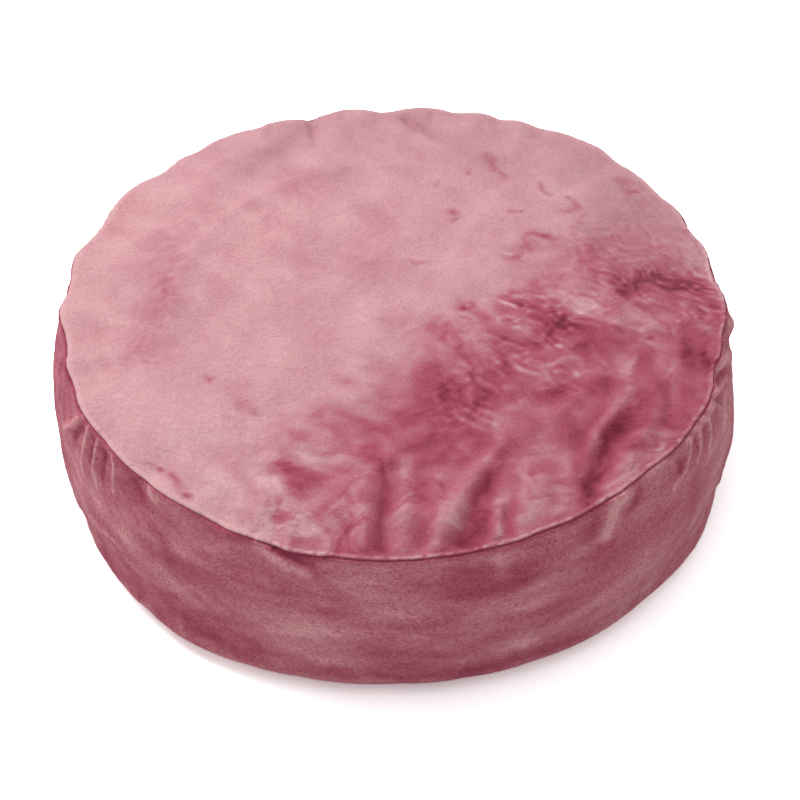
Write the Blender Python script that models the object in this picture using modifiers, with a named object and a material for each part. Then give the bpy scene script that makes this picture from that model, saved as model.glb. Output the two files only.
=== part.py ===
"""Round plush floor cushion: sewn cover with a zipped rear band, woven liner and fibre filling.

Metres, +Z up. The origin is the centre of the flat foot that stands on the floor. The front is -Y,
and the zip runs round the rear, centred on +Y. Builds one named object for each sewn or moulded piece.
"""

from math import acos, atan, cos, degrees, pi, radians, sin

import bmesh
import bpy
from mathutils import Matrix

# Overall cushion
BULGE_RADIUS = 0.350            # widest part of the band
CUSHION_HEIGHT = 0.205          # floor to the middle of the crowned top
CROWN_RISE = 0.019              # how far the middle stands above the top seam
CROWN_POWER = 2.4               # higher is flatter in the middle
TOP_SEAM_INSET = 0.016          # top seam, inside the widest radius
BOTTOM_SEAM_INSET = 0.010       # bottom seam, inside the widest radius
BOTTOM_SEAM_HEIGHT = 0.020      # bottom seam above the floor
FOOT_INSET = 0.050              # edge of the flat foot, inside the widest radius

# Sewn cover
COVER_THICKNESS = 0.003         # backing and pile
SEAM_ALLOWANCE = 0.012          # turned in at each round seam
THREAD_RADIUS = 0.0004          # heavy polyester thread
SEAM_THREAD_DROP = 0.006        # stitch line, in from the edge of the panel

# Gaps
FIT_GAP = 0.0003                # left between pieces that touch
RUNNING_GAP = 0.0004            # slider to the rows and tapes that it runs on

# Zip
ZIP_HALF_ANGLE = 66.0           # degrees each side of +Y
SLOT_CLEARANCE = 0.0011         # slider to the folded edges of the rear strips
TAPE_REACH = 0.015              # zip's middle line to the outer edge of a tape
TAPE_THICKNESS = 0.0006
TAPE_END_GAP = 0.001            # tape's end to the upright seam
COIL_DIAMETER = 0.002
ROW_GAP = 0.0015                # between the two rows
ZIP_STITCH_INSET = 0.005        # stitch line from the folded edge
BAR_TACK_LENGTH = 0.002
BAR_TACK_MARGIN = 0.00075       # tack beyond the rows, at each side
BAR_TACK_THICKNESS = 0.0006
BAR_TACK_SETBACK = 0.003        # tack's middle from the upright seam

# Slider and pull
SLIDER_LENGTH = 0.012
SLIDER_PLATE = 0.001
SLIDER_LIP = 0.00125
BRIDGE_THICKNESS = 0.0008
BRIDGE_LENGTH = 0.004
BAIL_LENGTH = 0.007
BAIL_WIDTH = 0.002
BAIL_WIRE = 0.0008
BAIL_CLEAR_HEIGHT = 0.002
PULL_THICKNESS = 0.001
PULL_LENGTH = 0.024             # pivot to the tip
PULL_WIDTH = 0.0064
PULL_SIDE_BAR = 0.001
PULL_EYE_GAP = 0.0005           # eye to the bail, at the sides and past its end
OVERLAP = 0.0002                # how far joined blocks reach into each other

# Care label
LABEL_LENGTH = 0.040
LABEL_HEIGHT = 0.025
LABEL_THICKNESS = 0.0004
LABEL_MIDDLE_HEIGHT = 0.060

# Inner pad
LINER_THICKNESS = 0.0008
LINER_ALLOWANCE = 0.008
LINER_SEAM_INSET = 0.028        # liner's round seams, inside the widest radius
LINER_FOOT_INSET = 0.060
LINER_BOTTOM_SEAM_HEIGHT = 0.022
LINER_THREAD_RADIUS = 0.0003
FILLING_CORNER_INSET = 0.036    # filling's top and bottom edges, inside the widest radius

# Facets
RING_STEP = 6.0                 # degrees a facet, full rings and the long strip
REAR_STEP = 3.0                 # degrees a facet, zip and rear strips
INNER_STEP = 9.0                # degrees a facet, inner pad
MERGE = 0.00001

TOP_SEAM_RADIUS = BULGE_RADIUS - TOP_SEAM_INSET
BOTTOM_SEAM_RADIUS = BULGE_RADIUS - BOTTOM_SEAM_INSET
TOP_SEAM_HEIGHT = CUSHION_HEIGHT - CROWN_RISE
ZIP_START = 90.0 - ZIP_HALF_ANGLE
ZIP_SWEEP = 2 * ZIP_HALF_ANGLE
TAPE_DEPTH = COVER_THICKNESS + 2 * FIT_GAP      # tape's outer face, below the band's
SLIDER_WIDTH = ROW_GAP + 2 * (COIL_DIAMETER + RUNNING_GAP + SLIDER_LIP)
SLOT_HALF = SLIDER_WIDTH / 2 + SLOT_CLEARANCE   # zip's middle line to a folded edge


def crown_height(radius):
    """Height of the cover's top surface."""
    share = min(radius / TOP_SEAM_RADIUS, 1.0)
    return TOP_SEAM_HEIGHT + CROWN_RISE * (1 - share ** CROWN_POWER)


def bulged(height, low, high, widest):
    """Radius of a side that bulges between two round seams, each given as (radius, height)."""
    share = (high[1] - height) / (high[1] - low[1])
    bulge = widest - (low[0] + high[0]) / 2
    return high[0] + (low[0] - high[0]) * share + bulge * sin(pi * share)


def band_surface(height, depth=0.0):
    """Radius of the band at a height, on its outer face or at a depth below it."""
    low = (BOTTOM_SEAM_RADIUS, BOTTOM_SEAM_HEIGHT)
    high = (TOP_SEAM_RADIUS, TOP_SEAM_HEIGHT)
    radius = bulged(height, low, high, BULGE_RADIUS)
    nudge = 0.0005
    slope = (bulged(height + nudge, low, high, BULGE_RADIUS) - radius) / nudge
    return radius - depth / cos(atan(slope))


def widest_height():
    """Height at which the band stands out furthest, where it is upright."""
    bulge = BULGE_RADIUS - (BOTTOM_SEAM_RADIUS + TOP_SEAM_RADIUS) / 2
    share = acos((TOP_SEAM_RADIUS - BOTTOM_SEAM_RADIUS) / (pi * bulge)) / pi
    return TOP_SEAM_HEIGHT - share * (TOP_SEAM_HEIGHT - BOTTOM_SEAM_HEIGHT)


def spaced(first, last, count):
    """count + 1 values from first to last."""
    return [first + (last - first) * i / count for i in range(count + 1)]


ZIP_HEIGHT = widest_height()


def angle_of(length, radius):
    """Degrees that a length takes up round a circle."""
    return degrees(length / radius)


def on_circle(radius, angle, height):
    return (radius * cos(radians(angle)), radius * sin(radians(angle)), height)


def make_material(name, colour, roughness, metallic=0.0):
    material = bpy.data.materials.new(name)
    material.use_nodes = True
    shader = material.node_tree.nodes["Principled BSDF"]
    shader.inputs["Base Color"].default_value = (*colour, 1.0)
    shader.inputs["Roughness"].default_value = roughness
    shader.inputs["Metallic"].default_value = metallic
    material.diffuse_color = (*colour, 1.0)
    return material


def place(name, data, material, collection):
    item = bpy.data.objects.new(name, data)
    data.materials.append(material)
    collection.objects.link(item)
    return item


def turned(name, profile, material, thickness=0.0, start=0.0, sweep=360.0, step=RING_STEP):
    """A profile of (radius, height) points, run down its outer side and turned about Z."""
    mesh = bpy.data.meshes.new(name)
    edges = [(i, i + 1) for i in range(len(profile) - 1)]
    mesh.from_pydata([(radius, 0.0, height) for radius, height in profile], edges, [])
    item = place(name, mesh, material, parts)
    item.rotation_euler.z = radians(start)
    screw = item.modifiers.new("Turn", "SCREW")
    screw.axis = "Z"
    screw.angle = radians(sweep)
    screw.steps = max(2, round(sweep / step))
    screw.render_steps = screw.steps
    screw.use_merge_vertices = True
    screw.merge_threshold = MERGE
    screw.use_smooth_shade = True
    if thickness:
        shell = item.modifiers.new("Thickness", "SOLIDIFY")
        shell.thickness = thickness
        shell.offset = -1.0
        shell.use_even_offset = True
    return item


def ring(name, radius, height, wire, material, step=RING_STEP):
    """A round stitch line."""
    bpy.ops.mesh.primitive_torus_add(major_radius=radius, minor_radius=wire,
                                     major_segments=round(360 / step), minor_segments=4,
                                     location=(0, 0, height))
    item = bpy.context.object
    item.name = name
    item.data.name = name
    item.data.materials.append(material)
    item.data.shade_smooth()
    for holder in item.users_collection:
        holder.objects.unlink(item)
    parts.objects.link(item)
    return item


def wire_line(name, points, wire, material, sides=1):
    """A round wire along a line of points, with filled ends."""
    curve = bpy.data.curves.new(name, "CURVE")
    curve.dimensions = "3D"
    spline = curve.splines.new("POLY")
    spline.points.add(len(points) - 1)
    for knot, point in zip(spline.points, points):
        knot.co = (*point, 1.0)
    curve.bevel_depth = wire
    curve.bevel_resolution = sides
    curve.use_fill_caps = True
    return place(name, curve, material, parts)


def block(name, low, high, material, collection, as_cutter=False):
    """A box between two corners."""
    mesh = bpy.data.meshes.new(name)
    cage = bmesh.new()
    bmesh.ops.create_cube(cage, size=1.0)
    size = [high[i] - low[i] for i in range(3)]
    middle = [(high[i] + low[i]) / 2 for i in range(3)]
    cage.transform(Matrix.Translation(middle) @ Matrix.Diagonal((*size, 1.0)))
    cage.to_mesh(mesh)
    cage.free()
    item = place(name, mesh, material, collection)
    if as_cutter:
        item.hide_render = True
        item.display_type = "WIRE"
    return item


def zip_arc(radius, height, step=REAR_STEP, end_gap=TAPE_END_GAP):
    """Points round the zip's arc, short of the two upright seams."""
    margin = angle_of(end_gap, radius)
    count = round((ZIP_SWEEP - 2 * margin) / step)
    angles = spaced(ZIP_START + margin, ZIP_START + ZIP_SWEEP - margin, count)
    return [on_circle(radius, angle, height) for angle in angles]


def build_cover(plush, thread):
    """Top, bottom and the three strips of the band, with the seams that join them."""
    inside = COVER_THICKNESS + FIT_GAP
    edge = band_surface(TOP_SEAM_HEIGHT, inside)
    top = [(radius, crown_height(radius)) for radius in spaced(0.0, edge - COVER_THICKNESS, 4)]
    top.append((edge, TOP_SEAM_HEIGHT - COVER_THICKNESS / 2))
    hem = TOP_SEAM_HEIGHT - SEAM_ALLOWANCE
    top.append((band_surface(hem, inside), hem))
    turned("cover_top_panel", top, plush, COVER_THICKNESS)

    hem = BOTTOM_SEAM_HEIGHT + SEAM_ALLOWANCE
    foot = BULGE_RADIUS - FOOT_INSET
    edge = band_surface(BOTTOM_SEAM_HEIGHT, inside)
    bottom = [(band_surface(hem, inside), hem)]
    for turn in spaced(pi / 2, 0.0, 3):
        bottom.append((foot + (edge - foot) * sin(turn), BOTTOM_SEAM_HEIGHT * (1 - cos(turn))))
    bottom.append((0.0, 0.0))
    turned("cover_bottom_panel", bottom, plush, COVER_THICKNESS)

    join = angle_of(FIT_GAP, BULGE_RADIUS)
    band_heights = spaced(TOP_SEAM_HEIGHT, BOTTOM_SEAM_HEIGHT, 8)
    band = [(band_surface(h), h) for h in band_heights]
    turned("cover_band_front", band, plush, COVER_THICKNESS,
           start=ZIP_START + ZIP_SWEEP + join, sweep=360 - ZIP_SWEEP - 2 * join)
    upper = [(band_surface(h), h) for h in spaced(TOP_SEAM_HEIGHT, ZIP_HEIGHT + SLOT_HALF, 4)]
    lower = [(band_surface(h), h) for h in spaced(ZIP_HEIGHT - SLOT_HALF, BOTTOM_SEAM_HEIGHT, 4)]
    for name, profile in (("upper", upper), ("lower", lower)):
        turned("cover_band_rear_" + name, profile, plush, COVER_THICKNESS,
               start=ZIP_START + join, sweep=ZIP_SWEEP - 2 * join, step=REAR_STEP)

    behind = 2 * inside + FIT_GAP + THREAD_RADIUS
    for name, height in (("top", TOP_SEAM_HEIGHT - SEAM_THREAD_DROP),
                         ("bottom", BOTTOM_SEAM_HEIGHT + SEAM_THREAD_DROP)):
        ring("cover_" + name + "_seam_thread", band_surface(height, behind), height, THREAD_RADIUS, thread)

    behind = inside + FIT_GAP + THREAD_RADIUS
    for name, angle in (("right", ZIP_START), ("left", ZIP_START + ZIP_SWEEP)):
        line = [on_circle(band_surface(height, behind), angle, height) for height in band_heights[1:-1]]
        wire_line("band_join_thread_" + name, line, THREAD_RADIUS, thread)


def build_zip(tape_fabric, coil_plastic, thread):
    """Two tapes, two rows of coil, their stitch lines and the tacks at the ends."""
    margin = angle_of(TAPE_END_GAP, BULGE_RADIUS)
    row_offset = (ROW_GAP + COIL_DIAMETER) / 2
    row_radius = coil_radius()
    stitch_depth = TAPE_DEPTH + TAPE_THICKNESS + FIT_GAP + THREAD_RADIUS
    for name, side in (("upper", 1), ("lower", -1)):
        heights = [ZIP_HEIGHT + side * offset for offset in spaced(ROW_GAP / 2, TAPE_REACH, 2)]
        heights.sort(reverse=True)
        tape = [(band_surface(height, TAPE_DEPTH), height) for height in heights]
        turned("zip_tape_" + name, tape, tape_fabric, TAPE_THICKNESS,
               start=ZIP_START + margin, sweep=ZIP_SWEEP - 2 * margin, step=REAR_STEP)
        row = zip_arc(row_radius, ZIP_HEIGHT + side * row_offset)
        wire_line("zip_coil_" + name, row, COIL_DIAMETER / 2, coil_plastic)
        height = ZIP_HEIGHT + side * (SLOT_HALF + ZIP_STITCH_INSET)
        stitch = zip_arc(band_surface(height, stitch_depth), height, step=RING_STEP)
        wire_line("zip_stitch_" + name, stitch, THREAD_RADIUS, thread, sides=0)

    tack_face = row_radius + COIL_DIAMETER / 2 + FIT_GAP
    tack_half = ROW_GAP / 2 + COIL_DIAMETER + BAR_TACK_MARGIN
    low = (-BAR_TACK_LENGTH / 2, 0.0, -tack_half)
    high = (BAR_TACK_LENGTH / 2, BAR_TACK_THICKNESS, tack_half)
    setback = angle_of(BAR_TACK_SETBACK, tack_face)
    for name, angle in (("closed", ZIP_START + setback), ("open", ZIP_START + ZIP_SWEEP - setback)):
        tack = block("zip_bar_tack_" + name, low, high, thread, parts)
        tack.location = on_circle(tack_face, angle, ZIP_HEIGHT)
        tack.rotation_euler.z = radians(angle - 90)


def coil_radius():
    """Radius of the coil rows' middle line: the rows lie on the tapes' outer face."""
    return band_surface(ZIP_HEIGHT, TAPE_DEPTH) + FIT_GAP + COIL_DIAMETER / 2


def slider_rest_angle():
    """The closed end: the slider's nose stops just short of the tack."""
    run = BAR_TACK_SETBACK + BAR_TACK_LENGTH / 2 + 2 * FIT_GAP + SLIDER_LENGTH / 2
    return ZIP_START + angle_of(run, coil_radius())


def build_slider(metal, pull_metal):
    """Slider body and pull. Local X runs along the zip towards its closed end, local Y points outwards."""
    row = coil_radius()
    angle = slider_rest_angle()
    axis = bpy.data.objects.new("zip_slide_axis", None)
    axis.location = (0.0, 0.0, ZIP_HEIGHT)
    axis.empty_display_size = BULGE_RADIUS
    parts.objects.link(axis)

    half = SLIDER_WIDTH / 2
    length = SLIDER_LENGTH / 2
    plate_under = COIL_DIAMETER / 2 + RUNNING_GAP
    plate_top = plate_under + SLIDER_PLATE
    tape_top = -COIL_DIAMETER / 2 - FIT_GAP
    lip_end = tape_top + RUNNING_GAP
    base_top = tape_top - TAPE_THICKNESS - RUNNING_GAP
    base_under = base_top - SLIDER_PLATE
    leg = BAIL_LENGTH / 2
    bail_under = plate_top + BAIL_CLEAR_HEIGHT
    bail_top = bail_under + BAIL_WIRE
    wide = BAIL_WIDTH / 2

    slider = block("zip_slider", (-length, plate_under, -half), (length, plate_top, half), metal, parts)
    slider.location = (row * cos(radians(angle)), row * sin(radians(angle)), 0.0)
    slider.rotation_euler.z = radians(angle - 90)
    slider.parent = axis

    into = OVERLAP
    web = BRIDGE_THICKNESS / 2
    pieces = {
        "lip_upper": ((-length, lip_end, half - SLIDER_LIP), (length, plate_under + into, half)),
        "lip_lower": ((-length, lip_end, -half), (length, plate_under + into, SLIDER_LIP - half)),
        "bridge": ((length - BRIDGE_LENGTH, base_top - into, -web), (length, plate_under + into, web)),
        "base": ((-length, base_under, -half), (length, base_top, half)),
        "bail_leg_front": ((leg - BAIL_WIRE, plate_top - into, -wide), (leg, bail_top, wide)),
        "bail_leg_rear": ((-leg, plate_top - into, -wide), (BAIL_WIRE - leg, bail_top, wide)),
        "bail_bar": ((-leg, bail_under, -wide), (leg, bail_top, wide)),
    }
    for name, (low, high) in pieces.items():
        tool = block("slider_" + name, low, high, metal, cutters, as_cutter=True)
        tool.parent = slider
        union = slider.modifiers.new(name, "BOOLEAN")
        union.operation = "UNION"
        union.solver = "EXACT"
        union.object = tool

    eye_half = wide + PULL_EYE_GAP
    pin = PULL_SIDE_BAR / 2
    bail_reach = (leg ** 2 + (BAIL_CLEAR_HEIGHT / 2 + BAIL_WIRE) ** 2) ** 0.5
    eye_end = bail_reach + PULL_EYE_GAP
    neck = eye_half + PULL_SIDE_BAR
    tip = PULL_WIDTH / 2
    outline = [(-pin, -neck), (eye_end + PULL_SIDE_BAR, -neck), (PULL_LENGTH - tip, -tip)]
    for turn in spaced(-pi / 2, pi / 2, 8)[1:-1]:
        outline.append((PULL_LENGTH - tip + tip * cos(turn), tip * sin(turn)))
    outline += [(PULL_LENGTH - tip, tip), (eye_end + PULL_SIDE_BAR, neck), (-pin, neck)]
    eye = [(pin, -eye_half), (pin, eye_half), (eye_end, eye_half), (eye_end, -eye_half)]
    curve = bpy.data.curves.new("zip_pull", "CURVE")
    curve.dimensions = "2D"
    curve.fill_mode = "BOTH"
    curve.extrude = PULL_THICKNESS / 2
    for loop in (outline, eye):
        spline = curve.splines.new("POLY")
        spline.points.add(len(loop) - 1)
        for knot, (x, y) in zip(spline.points, loop):
            knot.co = (x, y, 0.0, 1.0)
        spline.use_cyclic_u = True
    pull = place("zip_pull", curve, pull_metal, parts)
    pull.parent = slider
    pull.location = (0.0, plate_top + BAIL_CLEAR_HEIGHT / 2, 0.0)
    pull.rotation_euler.x = radians(90)


def build_label(label_fabric):
    """Blank label, caught in the right upright seam and lying on the lower rear strip."""
    proud = FIT_GAP + LABEL_THICKNESS
    heights = spaced(LABEL_MIDDLE_HEIGHT + LABEL_HEIGHT / 2, LABEL_MIDDLE_HEIGHT - LABEL_HEIGHT / 2, 2)
    profile = [(band_surface(height, -proud), height) for height in heights]
    turned("care_label", profile, label_fabric, LABEL_THICKNESS, start=ZIP_START,
           sweep=angle_of(LABEL_LENGTH, BULGE_RADIUS), step=REAR_STEP)


def build_pad(liner, thread, fibre):
    """Woven liner, its seams, and the filling inside it."""
    zip_room = TAPE_DEPTH + TAPE_THICKNESS + RUNNING_GAP + SLIDER_PLATE + FIT_GAP
    widest = BULGE_RADIUS - zip_room
    seam = BULGE_RADIUS - LINER_SEAM_INSET
    drop = COVER_THICKNESS + 2 * FIT_GAP
    high = (seam, crown_height(seam) - drop)
    low = (seam, LINER_BOTTOM_SEAM_HEIGHT)
    floor = COVER_THICKNESS + FIT_GAP
    inside = LINER_THICKNESS + FIT_GAP

    def side(height, depth=0.0):
        return bulged(height, low, high, widest) - depth

    heights = spaced(high[1], low[1], 6)
    band = [(side(height), height) for height in heights]
    turned("liner_side_band", band, liner, LINER_THICKNESS, step=INNER_STEP)

    edge = seam - 2 * inside
    top = [(radius, crown_height(radius) - drop) for radius in spaced(0.0, edge - inside, 3)]
    top += [(edge, high[1] - inside), (edge, high[1] - LINER_ALLOWANCE)]
    turned("liner_top_panel", top, liner, LINER_THICKNESS, step=INNER_STEP)

    foot = BULGE_RADIUS - LINER_FOOT_INSET
    bottom = [(edge, low[1] + LINER_ALLOWANCE)]
    for turn in spaced(pi / 2, 0.0, 3):
        bottom.append((foot + (edge - foot) * sin(turn), floor + (low[1] - floor) * (1 - cos(turn))))
    bottom.append((0.0, floor))
    turned("liner_bottom_panel", bottom, liner, LINER_THICKNESS, step=INNER_STEP)

    stitch = edge - LINER_THICKNESS - FIT_GAP - LINER_THREAD_RADIUS
    ring("liner_top_seam_thread", stitch, high[1] - LINER_ALLOWANCE / 2, LINER_THREAD_RADIUS, thread,
         step=INNER_STEP)
    ring("liner_bottom_seam_thread", stitch, low[1] + LINER_ALLOWANCE / 2, LINER_THREAD_RADIUS, thread,
         step=INNER_STEP)
    behind = inside + FIT_GAP + LINER_THREAD_RADIUS
    line = [on_circle(side(height, behind), 0.0, height) for height in heights[1:-1]]
    wire_line("liner_closing_thread", line, LINER_THREAD_RADIUS, thread, sides=0)

    corner = BULGE_RADIUS - FILLING_CORNER_INSET
    depth = LINER_THICKNESS + 3 * FIT_GAP + 2 * LINER_THREAD_RADIUS
    lift = LINER_THICKNESS + FIT_GAP
    body = [(radius, crown_height(radius) - drop - lift - FIT_GAP) for radius in spaced(0.0, corner, 3)]
    hem = stitch - LINER_THREAD_RADIUS - FIT_GAP
    body.append((hem, high[1] - LINER_ALLOWANCE))
    body += [(side(height, depth), height) for height in heights[1:-1]]
    body += [(hem, low[1] + LINER_ALLOWANCE), (corner, low[1]), (foot, floor + lift), (0.0, floor + lift)]
    turned("fibre_filling", body, fibre, step=INNER_STEP)


for old in list(bpy.data.objects):
    bpy.data.objects.remove(old, do_unlink=True)
parts = bpy.data.collections.new("floor_cushion")
cutters = bpy.data.collections.new("cutters")
bpy.context.scene.collection.children.link(parts)
bpy.context.scene.collection.children.link(cutters)

plush_pink = make_material("plush_cover", (0.50, 0.17, 0.21), 0.9)
sewing_thread = make_material("sewing_thread", (0.42, 0.12, 0.16), 0.7)
tape_pink = make_material("zip_tape", (0.38, 0.11, 0.15), 0.85)
coil_pink = make_material("zip_coil", (0.40, 0.11, 0.15), 0.45)
nickel = make_material("zip_metal", (0.62, 0.60, 0.57), 0.3, 1.0)
satin_label = make_material("label_satin", (0.86, 0.84, 0.80), 0.5)
liner_white = make_material("liner_fabric", (0.85, 0.83, 0.79), 0.85)
fibre_white = make_material("polyester_fibre", (0.90, 0.90, 0.88), 0.95)

build_cover(plush_pink, sewing_thread)
build_zip(tape_pink, coil_pink, sewing_thread)
build_slider(nickel, nickel)
build_label(satin_label)
build_pad(liner_white, sewing_thread, fibre_white)
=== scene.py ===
import math

import bmesh
import bpy
import numpy as np
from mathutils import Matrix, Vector
from mathutils.kdtree import KDTree


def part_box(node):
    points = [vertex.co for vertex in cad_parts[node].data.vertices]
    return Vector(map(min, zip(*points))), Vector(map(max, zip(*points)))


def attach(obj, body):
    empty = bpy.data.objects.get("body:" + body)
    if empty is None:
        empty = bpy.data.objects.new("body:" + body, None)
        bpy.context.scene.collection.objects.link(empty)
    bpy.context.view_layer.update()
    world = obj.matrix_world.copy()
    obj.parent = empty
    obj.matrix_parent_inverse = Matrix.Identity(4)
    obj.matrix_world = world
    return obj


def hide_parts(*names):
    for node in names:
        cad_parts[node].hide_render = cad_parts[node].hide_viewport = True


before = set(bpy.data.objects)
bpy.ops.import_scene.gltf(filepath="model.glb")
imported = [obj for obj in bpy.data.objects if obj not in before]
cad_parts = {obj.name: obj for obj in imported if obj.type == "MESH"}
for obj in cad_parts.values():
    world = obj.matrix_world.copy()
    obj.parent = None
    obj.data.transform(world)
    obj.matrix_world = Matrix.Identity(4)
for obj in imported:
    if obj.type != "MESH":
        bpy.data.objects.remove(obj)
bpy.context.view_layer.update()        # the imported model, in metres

mm = 0.001
body = "cushion"


# cover, sizes

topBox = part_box("cover_top_panel")
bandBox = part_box("cover_band_front")
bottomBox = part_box("cover_bottom_panel")

cover = {
    "widest": bandBox[1].x,
    "topSeam": (topBox[1].x + 6.0 * mm, bandBox[1].z + 3.5 * mm),          # radius, height, with the pile
    "bottomSeam": (bottomBox[1].x + 4.5 * mm, bandBox[0].z - 5.0 * mm),
    "crown": topBox[1].z + 1.0 * mm,
    "crownPower": 2.8,                                 # higher is flatter in the middle
    "footRadius": bandBox[1].x - 50 * mm,
    "zipEnds": (24.0, 156.0),                          # degrees, the two upright seams
    "slot": (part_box("cover_band_rear_lower")[1].z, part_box("cover_band_rear_upper")[0].z),
    "cells": 75,                                       # along each side of a round panel
    "edgeCrowding": 0.35,                              # finer cells towards the seam
    "rowsAbove": 12,
    "rowsInSlot": 2,
    "rowsBelow": 10,
    "refine": 2,                                       # subdivisions after the simulation
}
zipHeight = sum(cover["slot"]) / 2

# seam wander: degrees, how far out, how far up (mm)
seamWander = [
    (0, -5, 0), (8, -3, -2), (20, 0, 0), (30, 3, 0), (42, 5, 1), (55, 4, 2), (63, 4, 1), (72, 4, 1),
    (80, 2, 0), (90, 0, 0), (98, 2, 0), (106, 0, 0), (114, 2, 0), (126, 4, 0), (137, 6, 0), (145, 6, 0),
    (160, 3, 0), (178, 0, -3), (189, -6, 0), (207, -5, 2), (233, -3, 1), (245, 0, 0), (254, 3, -1),
    (262, 2, 0), (270, 1, -1), (278, 0, 1), (287, -3, 0), (297, -6, 1), (308, -9, 0), (316, -10, 1),
    (325, -8, 0), (335, -9, 1), (345, -11, 0), (353, -9, 0),
]


def smoothStep(low, high, value):
    share = np.clip((value - low) / (high - low), 0.0, 1.0)
    return share * share * (3.0 - 2.0 * share)


def softNoise(points, size, seed, waves=26):    # smooth hills about that size apart, near -1.5 to 1.5
    draw = np.random.default_rng(seed)
    headings = draw.normal(size=(waves, points.shape[1]))
    headings /= np.linalg.norm(headings, axis=1)[:, None]
    rates = 2 * math.pi / (size * draw.uniform(0.6, 1.7, waves))
    starts = draw.uniform(0, 2 * math.pi, waves)
    hills = np.zeros(len(points))
    for heading, rate, start in zip(headings, rates, starts):
        hills += np.sin(points @ heading * rate + start)
    return hills / math.sqrt(waves / 2)


def seamOffset(angles):    # degrees to metres out and up, smooth all the way round
    stops = np.array([stop[0] for stop in seamWander], float)
    stops = np.concatenate([stops[-3:] - 360, stops, stops[:3] + 360])
    offsets = []
    for column in (1, 2):
        values = np.array([stop[column] for stop in seamWander], float)
        values = np.concatenate([values[-3:], values, values[:3]])
        at = angles % 360
        right = np.clip(np.searchsorted(stops, at, side="right"), 1, len(stops) - 1)
        share = (at - stops[right - 1]) / (stops[right] - stops[right - 1])
        share = share * share * (3 - 2 * share)
        offsets.append((values[right - 1] * (1 - share) + values[right] * share) * mm)
    return offsets


def bandRadius(heights):    # the band's outline, as cut
    high, low = cover["topSeam"], cover["bottomSeam"]
    share = (high[1] - heights) / (high[1] - low[1])
    bulge = cover["widest"] - (high[0] + low[0]) / 2
    return high[0] + (low[0] - high[0]) * share + bulge * np.sin(math.pi * share)


def crownHeight(radii):
    seamRadius, seamHeight = cover["topSeam"]
    share = np.clip(radii / seamRadius, 0, 1.2)
    return seamHeight + (cover["crown"] - seamHeight) * (1 - share ** cover["crownPower"])


def baseHeight(radii):
    seamRadius, seamHeight = cover["bottomSeam"]
    share = np.clip((radii - cover["footRadius"]) / (seamRadius - cover["footRadius"]), 0, 1)
    return seamHeight * share ** 2.2


def discPoints(cells):    # a square net laid out round, so that no point is a pole
    side = np.linspace(-1, 1, cells + 1)
    across, up = [grid.ravel() for grid in np.meshgrid(side, side)]
    wide = np.abs(across) > np.abs(up)
    radii = np.where(wide, across, up)
    turn = np.where(wide, math.pi / 4 * up / np.where(wide, across, 1),
                    math.pi / 2 - math.pi / 4 * across / np.where(wide, 1, up))
    turn = np.where(radii < 0, turn + math.pi, turn)
    radii = np.abs(radii)
    turn = turn + math.radians(180 / (4 * cells))
    radii = radii + cover["edgeCrowding"] * radii * (1 - radii)
    return radii, turn


def crowdedSteps(high, low, count, crowding):    # heights from high to low, closer together at high
    share = np.linspace(0, 1, count + 1)
    share = share - crowding * share * (1 - share)
    return high + (low - high) * share


def blankCover():    # the cover as cut and sewn, before it is filled: points, quads, panel of each quad
    cells = cover["cells"]
    radii, turn = discPoints(cells)
    count = len(radii)
    rim = np.where(radii > 0.9999)[0]
    rim = rim[np.argsort(turn[rim] % (2 * math.pi))]
    columns = len(rim)
    angle = turn[rim] % (2 * math.pi)

    topRadius = radii * cover["topSeam"][0]
    top = np.stack([topRadius * np.cos(turn), topRadius * np.sin(turn), crownHeight(topRadius)], 1)
    lowRadius = radii * cover["bottomSeam"][0]
    bottom = np.stack([lowRadius * np.cos(turn), lowRadius * np.sin(turn), baseHeight(lowRadius)], 1)

    slotLow, slotHigh = cover["slot"]
    heights = np.concatenate([
        crowdedSteps(cover["topSeam"][1], slotHigh, cover["rowsAbove"], 0.3),
        np.linspace(slotHigh, slotLow, cover["rowsInSlot"] + 1)[1:],
        crowdedSteps(cover["bottomSeam"][1], slotLow, cover["rowsBelow"], 0.3)[::-1][1:],
    ])
    rows = []
    for height in heights[1:-1]:
        radius = float(bandRadius(height))
        rows.append(np.stack([radius * np.cos(angle), radius * np.sin(angle), np.full(columns, height)], 1))
    points = np.concatenate([top, bottom] + rows)

    corner = np.arange(cells * (cells + 1)).reshape(cells, cells + 1)[:, :-1].ravel()
    disc = np.stack([corner, corner + 1, corner + cells + 2, corner + cells + 1], 1)
    quads, panels = [disc, disc[:, ::-1] + count], [np.zeros(len(disc)), np.full(len(disc), 4)]
    rings = [2 * count + row * columns + np.arange(columns) for row in range(len(rows))]
    rings = [rim] + rings + [rim + count]
    middle = np.degrees(angle + math.pi / columns) % 360
    rear = (middle > cover["zipEnds"][0]) & (middle < cover["zipEnds"][1])
    for row in range(len(rings) - 1):
        upper, lower = rings[row], rings[row + 1]
        quads.append(np.stack([upper, lower, np.roll(lower, -1), np.roll(upper, -1)], 1))
        strip = 2 if row < cover["rowsAbove"] else 5 if row < cover["rowsAbove"] + cover["rowsInSlot"] else 3
        panels.append(np.where(rear, strip, 1))
    return points, np.concatenate(quads), np.concatenate(panels).astype(int)


def makeMesh(name, points, faces):
    mesh = bpy.data.meshes.new(name)
    mesh.from_pydata(points.tolist(), [], faces.tolist() if isinstance(faces, np.ndarray) else faces)
    mesh.polygons.foreach_set("use_smooth", np.ones(len(mesh.polygons), bool))
    mesh.update()
    return mesh


def meshObject(name, mesh):
    piece = bpy.data.objects.new(name, mesh)
    bpy.context.scene.collection.objects.link(piece)
    return piece


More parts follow.
